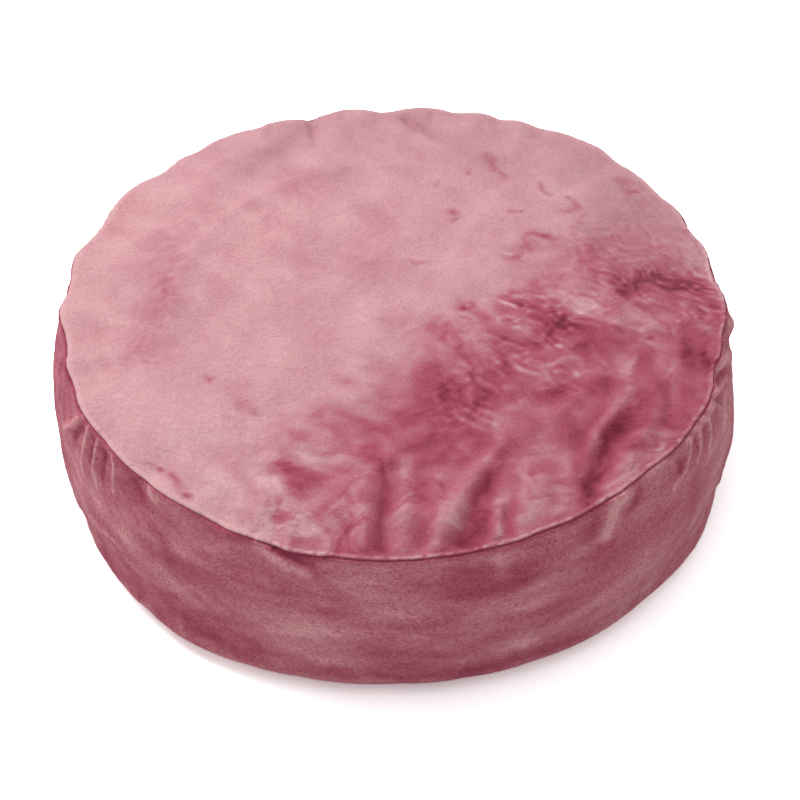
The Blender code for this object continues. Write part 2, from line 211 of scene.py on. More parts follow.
def markPoints(mesh, marks):    # values kept on the points, for the materials
    for name, values in marks.items():
        vector = values.ndim == 2
        mark = mesh.attributes.new(name, "FLOAT_VECTOR" if vector else "FLOAT", "POINT")
        mark.data.foreach_set("vector" if vector else "value", values.ravel().astype(float))


def readPoints(mesh):
    flat = np.zeros(len(mesh.vertices) * 3)
    mesh.vertices.foreach_get("co", flat)
    return flat.reshape(-1, 3)


def writePoints(mesh, points):
    mesh.vertices.foreach_set("co", points.ravel())
    mesh.update()


def readNormals(mesh):
    flat = np.zeros(len(mesh.vertices) * 3)
    mesh.vertex_normals.foreach_get("vector", flat)
    return flat.reshape(-1, 3)


# cover, folds
# A fold runs through points on the top, (x, y), then on the band, (degrees, height), all in mm.
# width is its half width, rise is how far it stands out (below 0 for a valley), fade is the
# share of its length over which it dies away at each end.

topFolds = [    # spots, half width, how far it stands out, how it dies away at its ends
    # front, left of the middle
    ([(-4, -215), (-8, -262), (-10, -300), (-11, -334)], 8, -5.5, (0.75, 0.05)),
    ([(-28, -225), (-31, -280), (-32, -334)], 9, 3.2, (0.7, 0.1)),
    ([(12, -225), (9, -280), (8, -334)], 8, 3.6, (0.7, 0.1)),
    ([(28, -230), (26, -280), (25, -334)], 7, -3.6, (0.7, 0.1)),
    ([(46, -235), (43, -290), (40, -334)], 9, 2.4, (0.6, 0.1)),
    # front, the big ridge and the deep valley beside it
    ([(120, -150), (104, -185), (94, -213), (71, -250), (50, -296), (41, -326)], 11, 4.6, (0.6, 0.1)),
    ([(104, -212), (91, -249), (77, -280), (64, -318), (60, -330)], 9, -5, (0.6, 0.05)),
    ([(94, -258), (87, -290), (84, -320)], 5, -2.4, (0.5, 0.1)),
    ([(104, -258), (98, -290), (95, -320)], 5, 2.8, (0.5, 0.1)),
    ([(110, -250), (107, -290), (105, -318)], 6, -2.2, (0.5, 0.1)),
    ([(140, -200), (130, -255), (124, -308)], 14, 3, (0.6, 0.2)),
    # front right
    ([(243, -118), (238, -136), (220, -174), (204, -208), (190, -247), (183, -272)], 12, -5.5, (0.4, 0.12)),
    ([(232, -108), (212, -158), (194, -195), (178, -235)], 9, 5, (0.5, 0.3)),
    ([(216, -228), (224, -230), (234, -232)], 6, 2.4, (0.4, 0.4)),
    ([(262, -130), (248, -172), (230, -212), (212, -245)], 11, 4.5, (0.5, 0.3)),
    ([(276, -110), (270, -148), (262, -182)], 9, -2.4, (0.5, 0.2)),
    ([(300, -60), (296, -100), (288, -140)], 10, 2, (0.5, 0.2)),
    # right edge
    ([(285, 45), (308, 20), (326, -8)], 9, -2.4, (0.5, 0.1)),
    ([(290, 5), (308, -20), (322, -38)], 9, 2.4, (0.5, 0.1)),
    ([(296, -40), (310, -58), (320, -72)], 7, -2.2, (0.5, 0.1)),
    ([(268, 78), (305, 62), (334, 45)], 11, -2.4, (0.5, 0.05)),
    ([(268, 108), (300, 97), (328, 80)], 12, 1.6, (0.5, 0.1)),
    # front left
    ([(-122, -250), (-128, -290), (-132, -322)], 9, 2.2, (0.6, 0.1)),
    ([(-106, -255), (-111, -295), (-114, -328)], 7, -2, (0.6, 0.1)),
    ([(-92, -255), (-96, -290), (-99, -328)], 8, 2, (0.6, 0.1)),
    ([(-160, -230), (-176, -262), (-190, -284)], 11, 2, (0.6, 0.1)),
    ([(-146, -245), (-156, -280), (-166, -302)], 8, -2, (0.6, 0.1)),
    ([(-262, -110), (-286, -130), (-306, -146)], 12, 1.6, (0.5, 0.1)),
    ([(-268, -80), (-296, -88), (-322, -96)], 11, -1.4, (0.5, 0.1)),
    # left edge
    ([(-285, 10), (-312, 14), (-338, 18)], 11, -1.4, (0.4, 0.05)),
    # back
    ([(-85, 250), (-89, 285), (-92, 312), (-94, 330)], 6, -6, (0.7, 0.1)),
    ([(-150, 215), (-122, 265), (-98, 305)], 12, -2, (0.5, 0.1)),
    ([(72, 250), (45, 282), (20, 308), (8, 330)], 6, -6, (0.7, 0.1)),
    ([(-58, 300), (-58, 334)], 5, -2, (0.6, 0.1)),
    ([(38, 302), (42, 334)], 5, -2, (0.6, 0.1)),
    ([(-32, 296), (-30, 334)], 14, 2, (0.6, 0.1)),
    ([(150, 260), (158, 296)], 10, -2, (0.6, 0.1)),
    ([(-236, 210), (-250, 226)], 11, -1.5, (0.6, 0.1)),
]
bandFolds = [
    # band, far left
    ([(187, 176), (190, 150), (196, 118)], 9, 3.5, (0.1, 0.6)),
    ([(207.5, 186), (204.6, 166), (200.9, 142), (198, 120)], 5, 4, (0.05, 0.5)),
    ([(208, 181), (205.4, 160), (204.4, 136)], 6, -3.6, (0.1, 0.6)),
    ([(209.6, 185), (209.5, 166), (209.1, 145), (208.2, 118)], 3.5, 3, (0.05, 0.5)),
    ([(211.3, 182), (211.5, 163), (211.2, 137)], 3.5, -2.8, (0.1, 0.5)),
    ([(212.8, 185), (212.5, 164), (212.8, 145), (213, 124)], 3.5, 3, (0.05, 0.5)),
    ([(214.6, 182), (214.7, 158), (215.1, 136)], 3.5, -2.6, (0.1, 0.5)),
    ([(217.1, 185), (218.1, 174), (218.3, 157), (218, 140)], 4, 2.8, (0.05, 0.5)),
    ([(223.3, 184), (224.9, 174), (226.6, 162)], 7, -2.8, (0.05, 0.6)),
    ([(226.8, 186), (228.2, 179), (229.8, 168)], 6, 3, (0.05, 0.6)),
    ([(210.3, 71), (216, 76), (220.6, 78)], 5, 2, (0.3, 0.4)),
    # band, front
    ([(247.2, 186), (249.5, 182), (252, 176), (255.2, 166)], 8, 4.5, (0.05, 0.4)),
    ([(250.5, 187), (253.5, 185), (257, 178)], 4, -3.4, (0.05, 0.5)),
    ([(272, 183), (272, 170), (273, 158)], 9, -1.8, (0.1, 0.6)),
    ([(286, 184), (287, 170), (288, 152)], 10, 2.6, (0.1, 0.6)),
    ([(292, 184), (292, 168), (292, 150)], 7, -2, (0.1, 0.6)),
    ([(310.4, 186), (308.4, 182), (306.9, 172), (305.2, 152)], 8, 5, (0.05, 0.5)),
    ([(299, 172), (303, 148), (308, 136)], 5, -3.5, (0.3, 0.5)),
    ([(314.4, 182), (312.6, 170), (309.6, 152)], 6, -3.6, (0.1, 0.6)),
    ([(318.4, 184), (317, 168), (314, 145)], 7, 2.6, (0.1, 0.6)),
    # band, front right: thin curved pleats
    ([(326.4, 186), (327.6, 181), (326.6, 170), (324.7, 158), (321.4, 148)], 3.5, 3, (0.05, 0.4)),
    ([(329, 186), (330.9, 180), (329.9, 161), (328.4, 148)], 3.5, 3, (0.05, 0.4)),
    ([(331.8, 186), (334, 176), (333.9, 154), (333, 140)], 3.5, 3.2, (0.05, 0.4)),
    ([(334, 186), (338.8, 172), (341.5, 150)], 5, 4, (0.05, 0.4)),
    ([(323.6, 180), (323.8, 164), (320.5, 142)], 5, -2.8, (0.1, 0.6)),
    # band, right: folds that fan out from the seam
    ([(336, 182), (340.8, 168), (345, 148)], 5, -3.6, (0.1, 0.5)),
    ([(338.4, 186), (343.7, 169), (349, 150)], 6, 4.4, (0.05, 0.5)),
    ([(342, 183), (348, 168), (354, 150)], 6, -3.4, (0.1, 0.5)),
    ([(346, 186), (352, 166), (358, 140)], 9, 4.4, (0.05, 0.5)),
    ([(353, 184), (357, 160), (362, 136)], 6, -4.5, (0.1, 0.5)),
    ([(358, 184), (362, 156), (368, 122)], 8, 4.5, (0.1, 0.5)),
    ([(365, 184), (368, 160), (373, 136)], 6, -4, (0.1, 0.5)),
    ([(371, 184), (375, 158), (380, 134)], 8, 3.5, (0.1, 0.5)),
]
bandFolds += [    # round the back, where the rear strips gather a little at both seams
    ([(angle, 184), (angle + lean, 166 - 8 * (angle % 3)), (angle + 2 * lean, 146 - 8 * (angle % 3))],
     width, rise, (0.1, 0.6))
    for angle, lean, width, rise in [
        (31, 1, 8, -2.6), (37, 1, 9, 2.4), (48, -1, 8, -2.2), (57, 1, 9, 2.6), (63, 1, 7, -3),
        (70, -1, 9, 2.2), (78, 1, 8, -2.4), (84, 1, 9, 2.8), (96, -1, 10, 3), (111, 1, 7, -2.6),
        (119, 1, 9, 2.4), (127, -1, 8, -2.4), (134, 1, 9, 2.2), (142, 1, 8, -2.6), (150, -1, 9, 2.4),
        (164, 1, 8, -2.4), (171, 1, 9, 2.6), (178, -1, 8, -2.4),
    ]
]
bandFolds += [    # bottom seam, short puckers all the way round
    ([(angle, 22), (angle + lean, 34), (angle + 2 * lean, 50 + 6 * (angle % 4))],
     5 + angle % 3, 2.4 if number % 2 else -2.2, (0.1, 0.6))
    for number, (angle, lean) in enumerate(zip(range(4, 360, 11), [1, -1, 1, 1, -1] * 7))
]


def topPoint(x, y):
    x, y = x * mm, y * mm
    return (x, y, float(crownHeight(math.hypot(x, y))))


def bandPoint(angle, height):
    radius, turn = float(bandRadius(height * mm)), math.radians(angle)
    return (radius * math.cos(turn), radius * math.sin(turn), height * mm)


def routeOf(spots, onBand=False):
    return np.array([bandPoint(*spot) if onBand else topPoint(*spot) for spot in spots])


def alongRoute(points, route):    # for each point: distance to the route, and its share along it
    lengths = np.linalg.norm(np.diff(route, axis=0), axis=1)
    starts = np.concatenate([[0], np.cumsum(lengths)])
    best, share = np.full(len(points), 1e9), np.zeros(len(points))
    for first, last, length, start in zip(route[:-1], route[1:], lengths, starts):
        run = (last - first) / length
        along = np.clip((points - first) @ run, 0, length)
        gap = np.linalg.norm(points - (first + along[:, None] * run), axis=1)
        nearer = gap < best
        best = np.where(nearer, gap, best)
        share = np.where(nearer, (start + along) / starts[-1], share)
    return best, share


def fade(share, ends):
    begin = smoothStep(0, max(ends[0], 1e-4), share) if ends[0] else 1.0
    return begin * (1 - smoothStep(1 - max(ends[1], 1e-4), 1.0001, share) if ends[1] else 1.0)


def nearRoute(points, route, reach):
    low, high = route.min(0) - reach, route.max(0) + reach
    return np.where(((points > low) & (points < high)).all(1))[0]


def foldField(points):
    total = np.zeros(len(points))
    for onBand, folds in ((False, topFolds), (True, bandFolds)):
        for spots, width, rise, ends in folds:
            route = routeOf(spots, onBand)
            near = nearRoute(points, route, 3.5 * width * mm)
            gap, share = alongRoute(points[near], route)
            total[near] += rise * mm * np.exp(-(gap / (width * mm)) ** 2) * fade(share, ends)
    return total


def zipZone(lay):    # 1 where the cover stays as cut, beside the zip, and 0 away from it
    angle = np.degrees(np.arctan2(lay[:, 1], lay[:, 0])) % 360
    ends = cover["zipEnds"]
    arc = smoothStep(ends[0] - 8, ends[0] - 2, angle) * (1 - smoothStep(ends[1] + 2, ends[1] + 8, angle))
    outside = lay[:, 2] - zipHeight
    return arc * (1 - smoothStep(12 * mm, 34 * mm, np.abs(outside)))


stuffing = {
    "pressure": 4.0,
    "mass": 0.35,
    "stretch": 12,            # how stiff the cloth is against stretching
    "shear": 6,
    "bend": 0.6,
    "lastFrame": 20,
    "slack": -0.012,          # cloth cut that much larger than the shape it is sewn to
    "cap": 6 * mm,            # the most that any point may move
    "seamHold": 0.6,          # how much less the top seam moves
    "holdReach": 45 * mm,     # and how far from it that dies away
    "ring": 8 * mm,           # width of the rings that a round panel is evened in
}


def fillCover(blank, lay):    # cloth simulation: the sewn cover swells over its filling
    radius = np.hypot(lay[:, 0], lay[:, 1])
    held = np.maximum(zipZone(lay), 0.85 * (1 - smoothStep(cover["footRadius"] - 30 * mm,
                                                           cover["footRadius"], radius)))
    held = np.where(lay[:, 2] > zipHeight, zipZone(lay), held)
    group = blank.vertex_groups.new(name="held")
    for level in range(1, 11):
        chosen = np.where(np.round(held * 10) == level)[0]
        group.add(chosen.tolist(), level / 10, "REPLACE")
    cloth = blank.modifiers.new("fill", "CLOTH")
    settings = cloth.settings
    settings.quality = 5
    settings.mass = stuffing["mass"]
    settings.tension_stiffness = settings.compression_stiffness = stuffing["stretch"]
    settings.shear_stiffness = stuffing["shear"]
    settings.bending_stiffness = stuffing["bend"]
    settings.use_pressure = True
    settings.uniform_pressure_force = stuffing["pressure"]
    settings.shrink_min = stuffing["slack"]
    settings.vertex_group_mass = "held"
    settings.effector_weights.gravity = 0
    scene = bpy.context.scene
    cloth.point_cache.frame_start, cloth.point_cache.frame_end = 1, stuffing["lastFrame"]
    for number in range(1, stuffing["lastFrame"] + 1):
        scene.frame_set(number)
    swollen = readPoints(blank.evaluated_get(bpy.context.evaluated_depsgraph_get()).data)
    blank.modifiers.remove(cloth)
    scene.frame_set(1)
    start = readPoints(blank.data)
    moved = swollen - start
    far = np.linalg.norm(moved, axis=1)
    print(f"  cloth moved {far.max() / mm:.1f} mm at most, mean {far.mean() / mm:.1f}")
    moved = onlyUneven(lay, moved)
    onDisc = (lay[:, 2] > cover["topSeam"][1] + 1e-6) | (lay[:, 2] < cover["bottomSeam"][1] - 1e-6)
    inner = smoothStep(0.60 * cover["topSeam"][0], 0.95 * cover["topSeam"][0], radius)
    seamward = np.exp(-(seamGap(lay, cover["topSeam"]) / stuffing["holdReach"]) ** 2)
    moved *= (np.where(onDisc, inner, 1) * (1 - stuffing["seamHold"] * seamward))[:, None]
    far = np.linalg.norm(moved, axis=1)
    limit = stuffing["cap"]
    moved *= (limit * np.tanh(far / limit) / np.maximum(far, 1e-9))[:, None]
    return start + moved


def onlyUneven(lay, moved):    # takes out what is the same all round, so that the outline stays as cut
    radius = np.maximum(np.hypot(lay[:, 0], lay[:, 1]), 1e-9)
    spoke = lay[:, :2] / radius[:, None]
    onTop, onBase = lay[:, 2] > cover["topSeam"][1] + 1e-6, lay[:, 2] < cover["bottomSeam"][1] - 1e-6
    evened, wide = moved.copy(), stuffing["ring"]
    for values, axis in (((moved[:, :2] * spoke).sum(1), spoke), (moved[:, 2], None)):
        which = np.unique(np.round(lay[:, 2], 5), return_inverse=True)[1]
        mean = (np.bincount(which, values) / np.bincount(which))[which]
        for disc, seam in ((onTop, cover["topSeam"]), (onBase, cover["bottomSeam"])):
            rim = mean[np.argmin(seamGap(lay, seam))]
            ring = np.floor(radius[disc] / wide).astype(int)
            count = np.maximum(np.bincount(ring), 1)
            centres = np.append((np.arange(len(count)) + 0.5) * wide, seam[0] + wide / 2)
            levels = np.append(np.bincount(ring, values[disc]) / count, rim)
            centres[-2] = min(centres[-2], seam[0] - wide / 2)
            mean[disc] = np.interp(radius[disc], centres, levels)
        if axis is None:
            evened[:, 2] -= mean
        else:
            evened[:, :2] -= axis * mean[:, None]
    return evened


def spreadOutline(points):    # moves the cut cover out and up to where its top seam wanders
    angle = np.degrees(np.arctan2(points[:, 1], points[:, 0]))
    out, up = seamOffset(angle)
    radius = np.hypot(points[:, 0], points[:, 1])
    seamRadius, seamHeight = cover["topSeam"]
    onTop = points[:, 2] >= seamHeight - 1e-6
    weight = np.where(onTop, smoothStep(0.72 * seamRadius, seamRadius, radius),
                      smoothStep(0.45 * seamHeight, seamHeight, points[:, 2]))
    weight = weight * (1 - zipZone(points))
    moved = points.copy()
    moved[:, :2] *= (1 + weight * out / np.maximum(radius, 1e-6))[:, None]
    moved[:, 2] += weight * up
    return moved


def subdivided(blank):
    refine = blank.modifiers.new("refine", "SUBSURF")
    refine.levels = refine.render_levels = cover["refine"]
    refine.boundary_smooth = "PRESERVE_CORNERS"
    bpy.context.view_layer.update()
    graph = bpy.context.evaluated_depsgraph_get()
    smooth = blank.evaluated_get(graph)
    fine = bpy.data.meshes.new_from_object(smooth, preserve_all_data_layers=True, depsgraph=graph)
    blank.modifiers.remove(refine)
    return fine


def readVectors(mesh, name):
    flat = np.zeros(len(mesh.vertices) * 3)
    mesh.attributes[name].data.foreach_get("vector", flat)
    return flat.reshape(-1, 3)


def seamGap(lay, seam):    # distance from the cut position to a round seam
    return np.hypot(np.hypot(lay[:, 0], lay[:, 1]) - seam[0], lay[:, 2] - seam[1])


seamShape = {
    "depth": 1.5 * mm, "reach": 1.7 * mm,
    "roll": 1.0 * mm, "rollAt": 4.6 * mm, "rollReach": 2.6 * mm,    # below the top seam and round the base
    "lip": 1.5 * mm, "lipAt": 2.4 * mm, "lipReach": 1.8 * mm,       # edge of the top panel
    "upright": 1.6 * mm, "uprightReach": 2.4 * mm,
    "turn": 20 * mm,                                                # where the cloth moves with the seam
}
lumps = ((0.9 * mm, 85 * mm, 3), (0.27 * mm, 34 * mm, 4), (0.12 * mm, 9 * mm, 5))    # height, size, seed
baseSwell = {"most": 7 * mm, "at": 234, "spread": 22, "front": 2 * mm, "reach": 30 * mm}    # at: degrees


def outward(lay, normals):    # each point's own normal, or slantwise close to a round seam
    radius = np.maximum(np.hypot(lay[:, 0], lay[:, 1]), 1e-9)
    heading = normals.copy()
    for seam, up in ((cover["topSeam"], 1.0), (cover["bottomSeam"], -1.0)):
        slant = np.stack([lay[:, 0] / radius, lay[:, 1] / radius, np.full(len(lay), up)], 1) / math.sqrt(2)
        share = np.exp(-(seamGap(lay, seam) / seamShape["turn"]) ** 2)[:, None]
        heading = heading * (1 - share) + slant * share
    return heading / np.linalg.norm(heading, axis=1)[:, None]


def sculpt(points, normals, lay):
    groove = np.zeros(len(lay))
    for seam in (cover["topSeam"], cover["bottomSeam"]):
        gap = seamGap(lay, seam)
        groove -= seamShape["depth"] * np.exp(-(gap / seamShape["reach"]) ** 2)
        roll = seamShape["roll"] * np.exp(-((gap - seamShape["rollAt"]) / seamShape["rollReach"]) ** 2)
        lip = seamShape["lip"] * np.exp(-((gap - seamShape["lipAt"]) / seamShape["lipReach"]) ** 2)
        groove += np.where(lay[:, 2] > cover["topSeam"][1] + 1e-6, lip, roll)
    ends = [math.radians(end) for end in cover["zipEnds"]]
    for end in ends:    # the two upright seams
        gap = np.hypot(lay[:, 0] - np.hypot(lay[:, 0], lay[:, 1]) * math.cos(end),
                       lay[:, 1] - np.hypot(lay[:, 0], lay[:, 1]) * math.sin(end))
        upright = (lay[:, 2] < cover["topSeam"][1] - 2 * mm) & (lay[:, 2] > cover["bottomSeam"][1] + 2 * mm)
        sunk = seamShape["upright"] * np.exp(-(gap / seamShape["uprightReach"]) ** 2)
        groove -= np.where(upright, sunk, 0)
    free = 1 - zipZone(lay)
    large, middling, small = [height * softNoise(lay, size, seed) for height, size, seed in lumps]
    offBase = smoothStep(8 * mm, 30 * mm, lay[:, 2])
    push = (foldField(lay) + (large + middling)) * free * offBase + groove
    push += small * offBase
    shaped = points + outward(lay, normals) * push[:, None]
    angle = np.degrees(np.arctan2(lay[:, 1], lay[:, 0])) % 360    # the base swells out, most at one side
    radius = np.maximum(np.hypot(lay[:, 0], lay[:, 1]), 1e-9)
    swell = baseSwell["most"] * np.exp(-((angle - baseSwell["at"]) / baseSwell["spread"]) ** 2)
    swell += baseSwell["front"] * smoothStep(200, 230, angle) * (1 - smoothStep(330, 350, angle))
    swell *= np.exp(-(seamGap(lay, cover["bottomSeam"]) / baseSwell["reach"]) ** 2)
    shaped[:, :2] += lay[:, :2] / radius[:, None] * swell[:, None]
    shaped[:, 2] -= 0.5 * swell
    shaped[:, 2] = np.maximum(shaped[:, 2], 0.0)
    return shaped


# cover, lie of the pile, painted as the light and shade it catches
# 1 is pile brushed towards the light and painted pale as if lit, 0 is pile brushed away from it and painted
# dark as if in shade. Strokes are in mm, like the folds.

napShadingLine = [(-330, -372), (-150, -340), (-128, -300), (-104, -268), (-84, -214), (-40, -172), (2, -128),
           (58, -78), (108, -40), (148, -4), (206, 8), (262, 46), (330, 58), (420, 40)]
# light and dark are the levels of the top's two sides, the pile's lie painted as lit and as in shade; band
# is the band's level, below the light side, painted shade on the upright sides
napShading = {"light": 0.90, "dark": 0.46, "soft": 74, "ragged": 24, "band": 0.70}

mottling = {    # how much the pile's lie varies: amount, size, seed
    "edgeRagged": (8 * mm, 20 * mm, 22),
    "dark": ((0.05, 60 * mm, 23), (0.05, 24 * mm, 24)),
    "light": ((0.022, 60 * mm, 25), (0.009, 14 * mm, 26)),
    "streaks": (22 * mm, 27),                                # beside the edge of the dark side
    "streakBend": (6 * mm, 40 * mm, 28),
    "fleck": (0.32, 12 * mm, 51),
    "band": ((0.075, 60 * mm, 32, 1.3), (0.042, 19 * mm, 33, 1.4)),    # the last is its squeeze in height
    "bandFine": (0.012, 8 * mm, 34),
}
# painted light and shade at the seams and on the folds: a painted highlight along the top panel's lip,
# painted shade below it on the band and in the seam grooves, and painted shade and highlights from the fold
# heights; base lightens the band just above the bottom seam
seamAndFoldShading = {"lipHighlight": 0.36, "lipHighlightAt": 3.4 * mm, "lipHighlightReach": 2.0 * mm, "shadeUnderLip": 0.12, "base": 0.10,
            "dark": 0.34, "grooveShadeReach": 1.0 * mm, "foldShading": 24, "bandFoldShading": 22}

napShadingStrokes = [    # top, points, half width, change
    ([(122, 6), (150, -14), (170, -34)], 15, -0.26),
    ([(150, -20), (120, -60), (96, -66)], 20, -0.20),
    ([(166, -34), (186, -62)], 14, -0.16),
    ([(78, -118), (84, -142)], 20, -0.16),
    ([(44, -130), (44, -205)], 18, -0.18),
    ([(20, -150), (62, -160)], 22, -0.12),
    ([(-52, -200), (-24, -234)], 15, -0.16),
    ([(-98, -236), (-64, -246)], 16, -0.28),
    ([(-104, -222), (-86, -236)], 12, -0.14),
    ([(-152, -216), (-138, -262), (-128, -292)], 10, -0.12),
    ([(218, -2), (240, 30), (262, 48), (290, 58)], 14, -0.20),
    ([(284, 42), (322, 36)], 16, -0.26),
    ([(292, -50), (300, -86)], 16, -0.22),
    ([(322, -60), (330, -76)], 9, -0.22),
    ([(150, -116), (166, -140)], 14, -0.18),
    ([(200, -160), (180, -200)], 22, -0.10),
    ([(238, -40), (262, -20)], 20, -0.08),
    # light patches and flecks inside the dark side, and painted highlights on fold ridges and painted shade
    # in fold valleys
    ([(130, -26), (146, -18)], 8, 0.16),
    ([(118, -52), (140, -46)], 5, 0.12),
    ([(148, -92), (176, -84)], 5, 0.20),
    ([(178, -106), (222, -98)], 6, 0.16),
    ([(196, -66), (204, -84)], 6, 0.18),
    ([(216, -74), (230, -88)], 6, 0.16),
    ([(182, -20), (196, -4), (186, 14)], 8, 0.16),
    # painted highlight along a fold ridge at the front right
    ([(228, -116), (210, -160), (192, -197), (177, -232)], 7, 0.18),
    ([(118, -140), (150, -156)], 6, 0.12),
    ([(170, -150), (150, -190), (140, -230)], 16, 0.10),
    ([(-64, -210), (-44, -262), (-30, -300)], 20, 0.14),
    ([(-120, -300), (-60, -318), (-20, -322)], 14, 0.14),
    # painted highlight along the big ridge and painted shade down the fold valleys
    ([(118, -150), (103, -186), (92, -214), (69, -251), (48, -297), (39, -326)], 11, 0.10),
    ([(104, -214), (91, -249), (77, -280), (64, -318)], 8, -0.22),
    ([(104, -260), (98, -290), (95, -318)], 4, 0.16),
    ([(111, -252), (107, -290), (105, -316)], 6, -0.14),
    ([(-6, -222), (-10, -270), (-12, -330)], 7, -0.10),
    ([(240, -132), (220, -174), (204, -208), (190, -247), (183, -270)], 10, -0.20),
    ([(246, -150), (241, -172)], 8, -0.10),
    # painted highlights and painted shade on the small folds at the front right
    ([(234, -188), (252, -180)], 9, 0.14),
    ([(222, -207), (241, -212), (234, -223)], 5, -0.22),
    ([(214, -227), (232, -233)], 5, 0.16),
    ([(266, -126), (267, -161), (258, -188)], 7, -0.16),
    ([(-130, -300), (-112, -272), (-86, -290)], 26, 0.12),
    ([(-92, -222), (-40, -236)], 18, 0.06),
    ([(60, -205), (52, -240), (44, -300)], 18, 0.06),
    # painted shade down a valley and a painted highlight on a ridge at the front
    ([(86, -284), (72, -324)], 9, -0.16),
    ([(14, -225), (10, -280), (8, -330)], 9, 0.14),
    ([(120, -236), (132, -270), (126, -300)], 14, 0.14),
    ([(150, -220), (160, -262), (156, -286)], 14, 0.12),
    # painted highlight along a ridge at the front right
    ([(262, -180), (230, -228), (206, -254)], 8, 0.22),
    ([(282, -96), (266, -150)], 9, 0.12),
    ([(250, -60), (280, -90)], 18, 0.12),
    ([(300, 20), (318, -10)], 8, 0.16),
    ([(262, 4), (284, -28)], 12, 0.10),
    ([(316, -28), (330, -36)], 5, 0.2),
    # brighter cloth at the front left
    ([(-230, -150), (-190, -215), (-140, -250)], 50, 0.04),
    ([(-120, -262), (0, -300), (110, -292)], 40, 0.07),
    ([(-232, -220), (-212, -240), (-195, -262)], 4, -0.26),
    ([(-240, -228), (-222, -252), (-204, -272)], 5, 0.06),
    # the middle tone at the right
    ([(200, 60), (262, 84)], 44, -0.22),
    ([(236, 110), (262, 170)], 30, -0.10),
    ([(130, 70), (146, 92)], 13, -0.20),
    ([(128, 24), (156, 34)], 12, -0.16),
    # small flecks on the light side
    ([(100, 234), (104, 216)], 5, -0.24),
    ([(112, 214), (118, 206)], 4, -0.2),
    ([(58, 142), (62, 126)], 6, -0.26),
    ([(120, 146), (132, 144)], 4, -0.26),
    ([(156, 188), (162, 180)], 3.5, -0.22),
    ([(180, 176), (187, 158), (178, 150)], 4, -0.22),
    ([(196, 146), (196, 118)], 4, -0.14),
    ([(152, 108), (168, 100)], 6, -0.24),
    ([(236, 206), (258, 192)], 8, -0.22),
    ([(56, -10), (76, -6)], 5, -0.22),
    ([(20, 56), (40, 60)], 5, -0.14),
    ([(72, 212), (76, 204)], 4, -0.14),
    ([(46, 190), (47, 182)], 3, -0.2),
    ([(-188, -108), (-182, -112)], 5, -0.16),
    ([(-144, -148), (-138, -156)], 7, -0.14),
    ([(-48, -312), (-30, -306)], 5, -0.3),
    ([(-92, -316), (-84, -312)], 5, -0.26),
    ([(-10, -44), (60, -44)], 14, -0.10),
    # soft dull patches
    ([(-238, 100), (-232, 10), (-244, -72)], 24, -0.13),
    ([(-230, 20), (-220, -10)], 16, -0.08),
    ([(-106, 212), (-112, 180)], 24, -0.09),
    ([(-64, 72), (-24, 50)], 26, -0.06),
    ([(-36, 150), (-20, 96)], 22, -0.05),
    ([(-142, 108), (-146, 140)], 16, -0.06),
]
